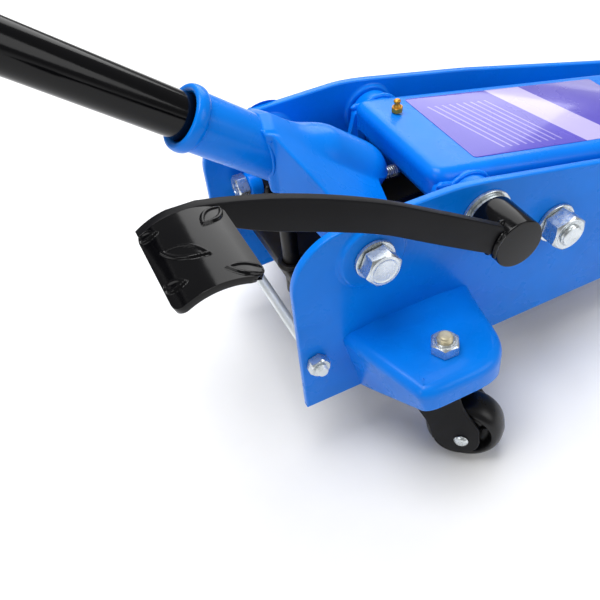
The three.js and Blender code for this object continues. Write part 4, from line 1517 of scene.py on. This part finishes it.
@dataclass
class LiftArm:
    """The lift arm: a box pressed from sheet with rolled edges, its pivot tube, lugs, label and grease
    nipple."""

    half: float = 56.0
    sheet: float = 5.0
    roll: float = 9.0
    rear: float = 112.0
    deck: float = 454.0
    nose: float = 17.0
    pivot: tuple[float, float] = (134.5, 113.0)
    carry: tuple[float, float] = (520.0, 68.0)
    lug: tuple[float, float] = (104.0, 48.0)

    def top(self, x: Array) -> Array:
        """Height of the arm's upper face."""
        return 136.0 - 0.2228 * (np.asarray(x, float) - 120.0)

    def box(self) -> Shell:
        """The pressed box: plan outline swept down from its rolled edge to a lower edge that follows
        the walls.

        Returns:
            The open box.
        """
        h = self.half
        plan = rectangle((self.rear, self.deck), (-h, h), 13, 12)
        plan = evened(np.vstack([plan, plan[:1]]), 521)[:-1]
        x, y = plan[:, 0], plan[:, 1]
        low = np.interp(x, [104, 122, 160, 250, 454], [36, 44, 84, 62, 54.5])
        inside = smooth((h - 4 - np.abs(y)) / 5)
        ends = np.where(x < 300, 117.0, self.top(x) - 14)
        low = low * (1 - inside) + ends * inside
        a = np.linspace(0, np.pi / 2, 9)
        rows = [placed(inset(plan, self.roll), self.top(inset(plan, self.roll)[:, 0]), Plane.XY)]
        cap = rows[0]
        for angle in a[1:]:
            flat = inset(plan, self.roll * (1 - math.sin(angle)))
            rows.append(placed(flat, self.top(flat[:, 0]) - self.roll * (1 - math.cos(angle)), Plane.XY))
        for s in np.linspace(0, 1, 7)[1:]:
            z = self.top(x) - self.roll
            rows.append(placed(plan, z + (low - z) * s, Plane.XY))
        return Shell().grid(np.array(rows), around=True).lid(cap)

    def walls(self) -> Shell:
        """Lug plates at the rear and fork plates at the front.

        Returns:
            The plates.
        """
        shell = Shell()
        lug = np.vstack(
            [
                rounded([[150, 120], [113, 128], [91.2, 52]], 4, 4), arc(self.lug, 13, 175, 340, 20),
                [[160, 86]]
            ]
        )[::-1]
        upper = [[518, 81], [462, self.top(462) - 4], [430, self.top(430) - 4]]
        fork = np.vstack([[[430, 58], [480, 54.2]], arc(self.carry, 13.9, -90, 25, 18), upper])
        for _, side in SIDES:
            for outline in (lug, fork):
                shell.wall(outline, side, self.half - self.sheet + 0.06, self.half - 0.06, 0.8)
        return shell

    def build(self) -> None:
        """Builds the arm, its label, nipple and spring."""
        made = self.box().piece("arm_box", BLUE, "arm", ["lift_arm"], sharp=50)
        thickened(made, self.sheet, 0.5)
        shell = self.walls()
        at = mid(self.pivot)
        tube = rounded(
            [
                [0, -70.4], [self.nose - 3, -70.4], [self.nose, -68.4], [self.nose, 68.4],
                [self.nose - 3, 70.4], [0, 70.4]
            ],
            1.0, 4
        )
        shell.lathe(tube, at, ACROSS, 96)
        for _, side in SIDES:
            ring = placed(arc(self.pivot, self.nose + 0.4, 20, 330, 90), side * (self.half + 1.2), Plane.XZ)
            shell.bead(ring, 2.2, 3.4, 11 + side)
            x = np.linspace(112, 150, 30)
            blob = np.stack(
                [x, np.full(30, side * (self.half + 0.4)), self.top(x) - 9 - 6 * smooth((x - 130) / 20)], 1
            )
            shell.bead(blob, 2.6, 5.0, 21 + side)
            shell.rod(6.9, (0, 14), (self.lug[0], side * 42.0, self.lug[1]), (0, side, 0), sides=40)
        shell.piece("arm_frame", BLUE, "arm")
        self.label()
        self.nipple()
        self.spring()

    def label(self) -> None:
        """The vinyl label: a thin sheet that follows the arm's slope."""
        low, high = DATUM.box("arm_panel")
        plan = rectangle((low[0], high[0]), (low[1], high[1]), 3)
        rows = [
            placed(inset(plan, w), self.top(inset(plan, w)[:, 0]) + h, Plane.XY)
            for w, h in ((0, 0.02), (0, 0.35), (0.3, 0.5))
        ]
        shell = Shell().grid(np.array(rows), around=True).lid(rows[-1]).lid(rows[0])
        shell.piece("label", VINYL, "arm", ["arm_panel"])

    def nipple(self) -> None:
        """The brass grease nipple: hexagon, cone, neck and ball."""
        low, high = DATUM.box("grease_nipple")
        at = ((low[0] + high[0]) / 2, (low[1] + high[1]) / 2, low[2])
        h = high[2] - low[2]
        shell = hex_shape(Shell(), 7.4, h * 0.42, at, UP, 20)
        ball = [
            [0, h * 0.3], [3.0, h * 0.42], [2.0, h * 0.58], [1.7, h * 0.68], [2.6, h * 0.78],
            [2.6, h * 0.9], [1.4, h], [0, h]
        ]
        shell.lathe(rounded(ball, 0.6, 4), at, UP, 48)
        shell.piece("nipple", BRASS, "arm", ["grease_nipple"])

    def spring(self) -> None:
        """The small return spring: a helix with a hook at each end."""
        low, high = DATUM.box("return_spring")
        r = (high[1] - low[1]) / 2 - 0.7
        middle = (low + high) / 2
        turns = int((high[0] - low[0]) / 1.9)
        t = np.linspace(0, 1, turns * 20)
        angle = 2 * np.pi * turns * t
        path = np.stack(
            [
                low[0] + 1 + (high[0] - low[0] - 2) * t, middle[1] + r * np.cos(angle),
                middle[2] + r * np.sin(angle)
            ],
            1
        )
        Shell().tube(path, 0.65, 8).piece("spring", ZINC, "arm", ["return_spring"], sharp=60)


@dataclass
class PowerUnit:
    """The hydraulic unit: block, cylinder, plunger, valve, and the ram that pulls the arm's lug."""

    x: tuple[float, float] = (24.0, 84.0)
    y: float = 70.5
    z: tuple[float, float] = (21.0, 60.0)
    ram_z: float = 44.0
    cylinder: float = 27.0
    end: float = 236.0
    rod: float = 13.0
    crosshead: float = 268.0
    link: tuple[float, float] = (44.7, 49.7)
    plunge: tuple[float, float, float] = (31.0, 6.0, 112.0)
    valve: tuple[float, float, float] = (36.0, 61.5, 91.0)
    lug: tuple[float, float] = (104.0, 48.0)

    def block(self) -> None:
        """The cast block: a slab with a sloping underside, gland ring round the plunger, valve tower
        and plugged ports."""
        (x0, x1), (z0, z1) = self.x, self.z
        px, pr, _ = self.plunge
        vx, vy, vz = self.valve
        flank = rounded(
            [[x0, z1 - 12], [x0 + 34, z0], [x1, z0], [x1, z1], [x0, z1]], [5, 8, 3, 3, 3], 5, closed=True
        )
        shell = Shell().slab(flank, -self.y, self.y, Plane.XZ, edge=2.0)
        gland = rounded(
            [[0, 0], [pr + 4.5, 0], [pr + 4.5, 1.6], [pr + 3.4, 3.2], [pr + 0.3, 3.2], [pr + 0.3, -2]], 0.7,
            4
        )
        shell.lathe(gland, (px, 0, z1 - 0.1), UP)
        tower = rectangle((vx + 0.3, vx + 16), (vy - 11, vy + 10), 3, 4)
        shell.slab(tower, z1 - 4, vz, Plane.XY, edge=2.0)
        for y in (-52.0, -26.0):
            shell.rod(6.5, (-1, 1.2), (52, y, z1), UP, edge=0.5, sides=40)
        shell.piece("hydraulic_block", IRON, "chassis", ["pump_block"])

    def barrel(self) -> None:
        """The cylinder with turned grooves and its hexagon-flatted head."""
        x0, x1, r = self.x[1] + 0.3, self.end, self.cylinder
        shell = Shell()
        skin = [[r - 2, 0], [r, 2], [r, x1 - x0 - 22], [r - 1.4, x1 - x0 - 20], [r - 1.4, x1 - x0 - 15]]
        shell.lathe(
            np.vstack([[[0, 0]], rounded(skin, 1.0, 3), [[0, x1 - x0 - 15]]]), (x0, 0, self.ram_z), FORWARD,
            96
        )
        hex_shape(shell, 2 * (r + 1.6), 13.8, (x1 - 14, 0, self.ram_z), FORWARD, 10)
        seal = rounded(
            [
                [self.rod + 0.4, 13], [r - 6, 13], [r - 6, 14.8], [self.rod + 2, 15.6],
                [self.rod + 0.4, 14.8]
            ],
            0.5, 3
        )
        shell.lathe(seal, (x1 - 14, 0, self.ram_z), FORWARD, 72)
        shell.piece("cylinder", IRON, "chassis", ["ram_cylinder"])

    def small_parts(self) -> None:
        """The plunger with its capped head, and the release valve with its hexagon plug."""
        px, pr, top = self.plunge
        rod = rounded([[0, 34], [pr - 0.1, 34], [pr - 0.1, top - 16]], [0, 0.4, 0.4], 3)
        cap = rounded(
            [[pr + 2, top - 16], [pr + 2, top - 10], [pr - 1, top - 8], [3.4, top - 1], [0, top]], 0.9, 4
        )
        # The plunger rod wears the dark iron finish as painted shade: it stands in the shadowed gap between
        # the tie rod and the side plates.
        shell = Shell().lathe(np.vstack([rod, cap]), (px, 0, 0), UP, 64)
        shell.piece("plunger_rod", IRON, "plunger", ["pump_plunger"])
        vx, vy, vz = self.valve
        boss = rounded([[0, -0.2], [9.4, -0.2], [9.4, 8.6], [8.2, 10], [0, 10]], 0.6, 4)
        Shell().lathe(boss, (vx, vy, vz), (-1, 0, 0)).piece("valve_sleeve", BLUE, "chassis", ["valve_boss"])
        plug = hex_shape(Shell(), 17.8, 8.6, (vx - 10.3, vy, vz), (-1, 0, 0), 12)
        plug.lathe([[5.2, 8.7], [4.2, 8.9], [3.6, 6.0], [0, 6.0]], (vx - 10.3, vy, vz), (-1, 0, 0), 40)
        plug.piece("valve_hexagon", ZINC, "chassis", ["valve_plug"])

    def ring_plate(
        self, outer: Array, hole: Array, low: float, high: float, centre: tuple[float, float]
    ) -> Shell:
        """A plate with one opening: both outlines are read by angle round a centre and joined by a
        closed strip.

        Args:
            outer: the outer outline.
            hole: the outline of the opening.
            low: where the plate starts.
            high: where it ends.
            centre: a point inside both outlines.

        Returns:
            The plate.
        """
        angle = np.linspace(-np.pi, np.pi, 120, endpoint=False)
        rings = []
        for line in (outer, hole):
            dense = evened(np.vstack([line, line[:1]]), 900)[:-1] - centre
            order = np.argsort(np.arctan2(dense[:, 1], dense[:, 0]))
            polar = np.arctan2(dense[order, 1], dense[order, 0])
            reach = np.interp(angle, polar, np.hypot(dense[order, 0], dense[order, 1]), period=2 * np.pi)
            rings.append(np.stack([np.cos(angle), np.sin(angle)], 1) * reach[:, None] + centre)
        big, small = rings
        rows = [
            placed(f, y, Plane.XZ)
            for f, y in ((big, low), (small, low), (small, high), (big, high), (big, low))
        ]
        return Shell().grid(np.array(rows), around=True)

    def ram(self) -> None:
        """The chromed rod, its crosshead and pin, and the two slotted links."""
        c, z = self.crosshead, self.ram_z
        shell = Shell().rod(self.rod, (110, c - 10), (0, 0, z), FORWARD, sides=80)
        shell.piece("ram_bar", STEEL, "ram", ["ram_rod"])
        head = rectangle((c - 16, c + 14), (z - 20, z + 20), 6)
        shell = Shell().slab(head, -22, 22, Plane.XZ, edge=1.6)
        w = self.link[1] + 3
        shell.rod(9, (-w, w), (c, 0, z), ACROSS, edge=1.0, sides=60)
        shell.piece("crosshead", IRON, "ram")
        x, y = self.lug
        outline = np.vstack([
            arc((c, z), 15, -90, 90, 20), [[x + 14, y + 15]], arc((x - 4, y + 4), 11, 90, 180, 12),
            arc((x - 4, y - 12), 11, 180, 270, 12),
        ])
        slot = rectangle((x - 8.5, x + 8.5), (y - 16, y + 11), 5)
        for name, side in SIDES:
            low, high = sorted((side * self.link[0], side * self.link[1]))
            made = self.ring_plate(outline, slot, low, high, (x, y - 2.5))
            made.piece(f"link_{name}", IRON, "ram", [f"ram_link_{name}"])

    def build(self) -> None:
        """Builds the whole unit."""
        self.block()
        self.barrel()
        self.small_parts()
        self.ram()


@dataclass
class Saddle:
    """The saddle, its carrier on the arm's front pivot, and the two levelling rods."""

    carry: tuple[float, float] = (520.0, 68.0)
    anchor: tuple[float, float] = (193.5, 81.5)
    pivot: tuple[float, float] = (134.5, 113.0)
    radius: float = 50.0
    rim: float = 112.0
    rod_y: float = 64.5
    half: float = 49.5
    post: float = 550.0
    teeth: int = 4

    @property
    def lower(self) -> tuple[float, float]:
        """The carrier's rod pin: as far from the front pivot as the anchor is from the rear one."""
        return (
            self.carry[0] + self.anchor[0] - self.pivot[0], self.carry[1] + self.anchor[1] - self.pivot[1]
        )

    def rods(self) -> None:
        """Round bars with a flattened, beaded eye at each end."""
        a, b = np.array(self.anchor), np.array(self.lower)
        along = (b - a) / np.linalg.norm(b - a)
        for name, side in SIDES:
            y = side * (self.rod_y + 0.5)
            path = np.linspace(a + along * 10, b - along * 10, 60)
            near = np.minimum(np.arange(60), np.arange(60)[::-1])
            shell = Shell().tube(placed(path, y, Plane.XZ), 3.9 + 0.9 * np.clip(1 - near / 4, 0, 1), 20)
            for at in (self.anchor, self.lower):
                low, high = sorted((side * (self.rod_y - 3), side * (self.rod_y + 4)))
                eye = [
                    [8.5, low], [12.2, low], [13, low + 0.8], [13, high - 0.8], [12.2, high], [8.5, high],
                    [8.5, low]
                ]
                shell.lathe(eye, mid(at), ACROSS, 60)
            shell.piece(f"rod_{name}", ZINC, f"level_{name}", [f"level_rod_{name}"])

    def carrier(self) -> None:
        """The cast carrier: two webs under a thick table, with its two pins."""
        (cx, cz), (lx, _), h = self.carry, self.lower, self.half
        side = np.vstack([
            arc(self.carry, 13, 180, 270, 10), arc(self.lower, 12, 270, 360, 10),
            rounded(
                [
                    [lx + 12, cz + 2], [lx + 4, cz + 14], [lx - 6, cz + 22], [cx - 13, cz + 22],
                    [cx - 13, cz + 6]
                ],
                4, 5
            )[1:-1],
        ])
        table = rounded(
            [[cx - 13, cz + 13.6], [lx + 4, cz + 13.6], [lx - 6, cz + 22], [cx - 13, cz + 22]], 1.5, 4,
            closed=True
        )
        shell = Shell().slab(table, -h + 7, h - 7, Plane.XZ, edge=1.0)
        for _, k in SIDES:
            shell.wall(side, k, h - 8, h, edge=1.6)
        for at, r, w in ((self.carry, 8, 57), (self.lower, 8, self.rod_y + 6)):
            shell.rod(r, (-w, w), mid(at), ACROSS, edge=1.0, sides=60)
        shell.piece("carrier_casting", BLUE, "carrier", ["saddle_carrier"])

    def dish(self) -> None:
        """The saddle: a turned cup with four rim teeth, and the ribbed rubber pad in it."""
        r, z = self.radius, self.carry[1] + 22.3
        under = [[0, -9.6], [10, -9.6], [10, 0], [r - 16, 0], [r - 4, 8], [r, 12]]
        rim = [[r, 16], [r - 6, 16], [r - 8, 12], [0, 12]]
        profile = np.vstack([rounded(under, [0, 0.8, 1.5, 4, 3, 1], 5), rounded(rim, [1, 1, 1.5, 0], 5)])
        shell = Shell().lathe(profile, (self.post, 0, z), UP, 120)
        for k in range(self.teeth):
            turn = math.radians(45 + 360 / self.teeth * k)
            c, s = math.cos(turn), math.sin(turn)
            flat = rectangle((r - 7, r - 1), (-9, 9), 1.6, 4)
            flat = np.stack(
                [self.post + flat[:, 0] * c - flat[:, 1] * s, flat[:, 0] * s + flat[:, 1] * c], 1
            )
            shell.slab(flat, z + 11, self.rim + 1.9, Plane.XY, edge=1.2)
        shell.piece("saddle_cup", BLUE, "saddle", ["saddle"])
        q = r - 9.2
        d = np.linspace(4, q - 2, 90)
        rib = 7.4 + 0.55 * np.clip(np.cos(d / 6.2 * 2 * np.pi) * 2, -1, 1)
        top = np.stack([d, rib], 1)[::-1]
        pad = np.vstack([[[0, 0.1], [q, 0.1], [q, 6.4], [q - 1.2, 7.6]], top, [[0, 7.9]]])
        shell = Shell().lathe(pad, (self.post, 0, z + 12.3), UP, 96)
        shell.piece("saddle_rubber", RUBBER, "saddle", ["saddle_pad"])

    def build(self) -> None:
        """Builds the saddle end."""
        self.rods()
        self.carrier()
        self.dish()


@dataclass
class FrontWheel:
    """One cast front wheel: grooved hub faces, a dished web and a crowned tread."""

    name: str
    side: int
    radius: float = 42.0
    width: float = 34.0
    near: float = 79.5
    axle: tuple[float, float] = (548.0, 3.0)
    bore: float = 9.3

    def build(self) -> None:
        """Builds the wheel."""
        r, h = self.radius, self.width / 2
        half = [
            [self.bore, h], [r - 24, h], [r - 21, h - 5], [r - 12, h - 5.5], [r - 9, h - 3], [r - 4, h - 3],
            [r - 1.2, h - 5], [r, 0]
        ]
        soft = rounded(half, [0, 1.2, 3, 3, 1.5, 1.5, 3.0, 0], 5)
        ring = both_faces(soft)
        middle = (self.axle[0], self.side * (self.near + h), self.axle[1])
        Shell().lathe(ring, middle, ACROSS, 120).piece(
            f"front_roller_{self.name}", POWDER, f"front_roll_{self.name}", [f"front_wheel_{self.name}"])


@dataclass
class Studio:
    """Pale floor, soft lights (name, place, side in metres, power in watts) and the camera."""

    lens: float = 45.312
    eye: tuple[float, float, float] = (-107.98, -378.80, 417.28)
    right: tuple[float, float, float] = (0.8987, -0.4294, -0.0897)
    up: tuple[float, float, float] = (0.3607, 0.6069, 0.7083)
    floor_size: float = 14.0
    centre: tuple[float, float, float] = (0.1, 0.0, 0.1)
    sky: float = 0.26
    lights: tuple[tuple[str, tuple[float, float, float], float, float], ...] = (
        ("overhead", (-0.2, 0.2, 2.4), 1.5, 52),
        ("left_window", (-1.8, -0.6, 1.3), 1.3, 10),
        ("right_window", (1.5, -1.6, 1.2), 1.3, 13),
        ("back_window", (1.25, 1.6, 1.55), 1.9, 30),
    )

    def camera(self) -> None:
        """Stands the camera; its three axes are its right, its up and the way back from the view."""
        data = bpy.data.cameras.new("camera")
        data.lens, data.sensor_width, data.clip_start, data.clip_end = self.lens, 36.0, 0.01, 100.0
        made = bpy.data.objects.new("camera", data)
        bpy.context.scene.collection.objects.link(made)
        r = Vector(self.right).normalized()
        u = (Vector(self.up) - r * r.dot(Vector(self.up))).normalized()
        place = Matrix((r, u, r.cross(u))).transposed().to_4x4()
        place.translation = Vector(DATUM.metres(self.eye))
        made.matrix_world = place
        bpy.context.scene.camera = made

    def floor(self) -> None:
        """A wide pale sheet under the wheels."""
        mesh = bpy.data.meshes.new("floor")
        s = self.floor_size
        mesh.from_pydata([(-s, -s, 0), (s, -s, 0), (s, s, 0), (-s, s, 0)], [], [(0, 1, 2, 3)])
        matt = Finish("matt_white_backdrop", "", "F6F6F6", "F4F4F4", (0.9, 0.95), grain=0.0)
        mesh.materials.append(matt.material())
        made = bpy.data.objects.new("floor", mesh)
        bpy.context.scene.collection.objects.link(made)

    def light(self, name: str, at: Sequence[float], size: float, power: float) -> None:
        """One soft square light turned towards the jack.

        Args:
            name: the light's name.
            at: where it stands.
            size: its side in metres.
            power: in watts.
        """
        data = bpy.data.lights.new(name, "AREA")
        data.shape, data.size, data.energy = "SQUARE", size, power
        made = bpy.data.objects.new(name, data)
        bpy.context.scene.collection.objects.link(made)
        made.location = at
        made.rotation_mode = "QUATERNION"
        made.rotation_quaternion = (Vector(self.centre) - Vector(at)).to_track_quat("-Z", "Y")

    def build(self) -> None:
        """Builds the studio."""
        self.camera()
        self.floor()
        for name, at, size, power in self.lights:
            self.light(name, at, size, power)
        world = bpy.data.worlds.new("studio")
        world.use_nodes = True
        sky = world.node_tree.nodes["Background"]
        sky.inputs["Color"].default_value = linear("FFFFFF")
        sky.inputs["Strength"].default_value = self.sky
        bpy.context.scene.world = world
        bpy.context.scene.view_settings.view_transform = "Standard"


def main() -> None:
    """Builds every sub-assembly in order."""
    logging.basicConfig(level=logging.INFO, format="%(message)s")
    Studio().build()
    Chassis().build()
    for name, side in SIDES:
        Caster(name, side).build()
    Handle().build()
    Yoke().build()
    Pedal().build()
    LiftArm().build()
    PowerUnit().build()
    Saddle().build()
    for name, side in SIDES:
        FrontWheel(name, side).build()


if __name__ == "__main__":
    main()
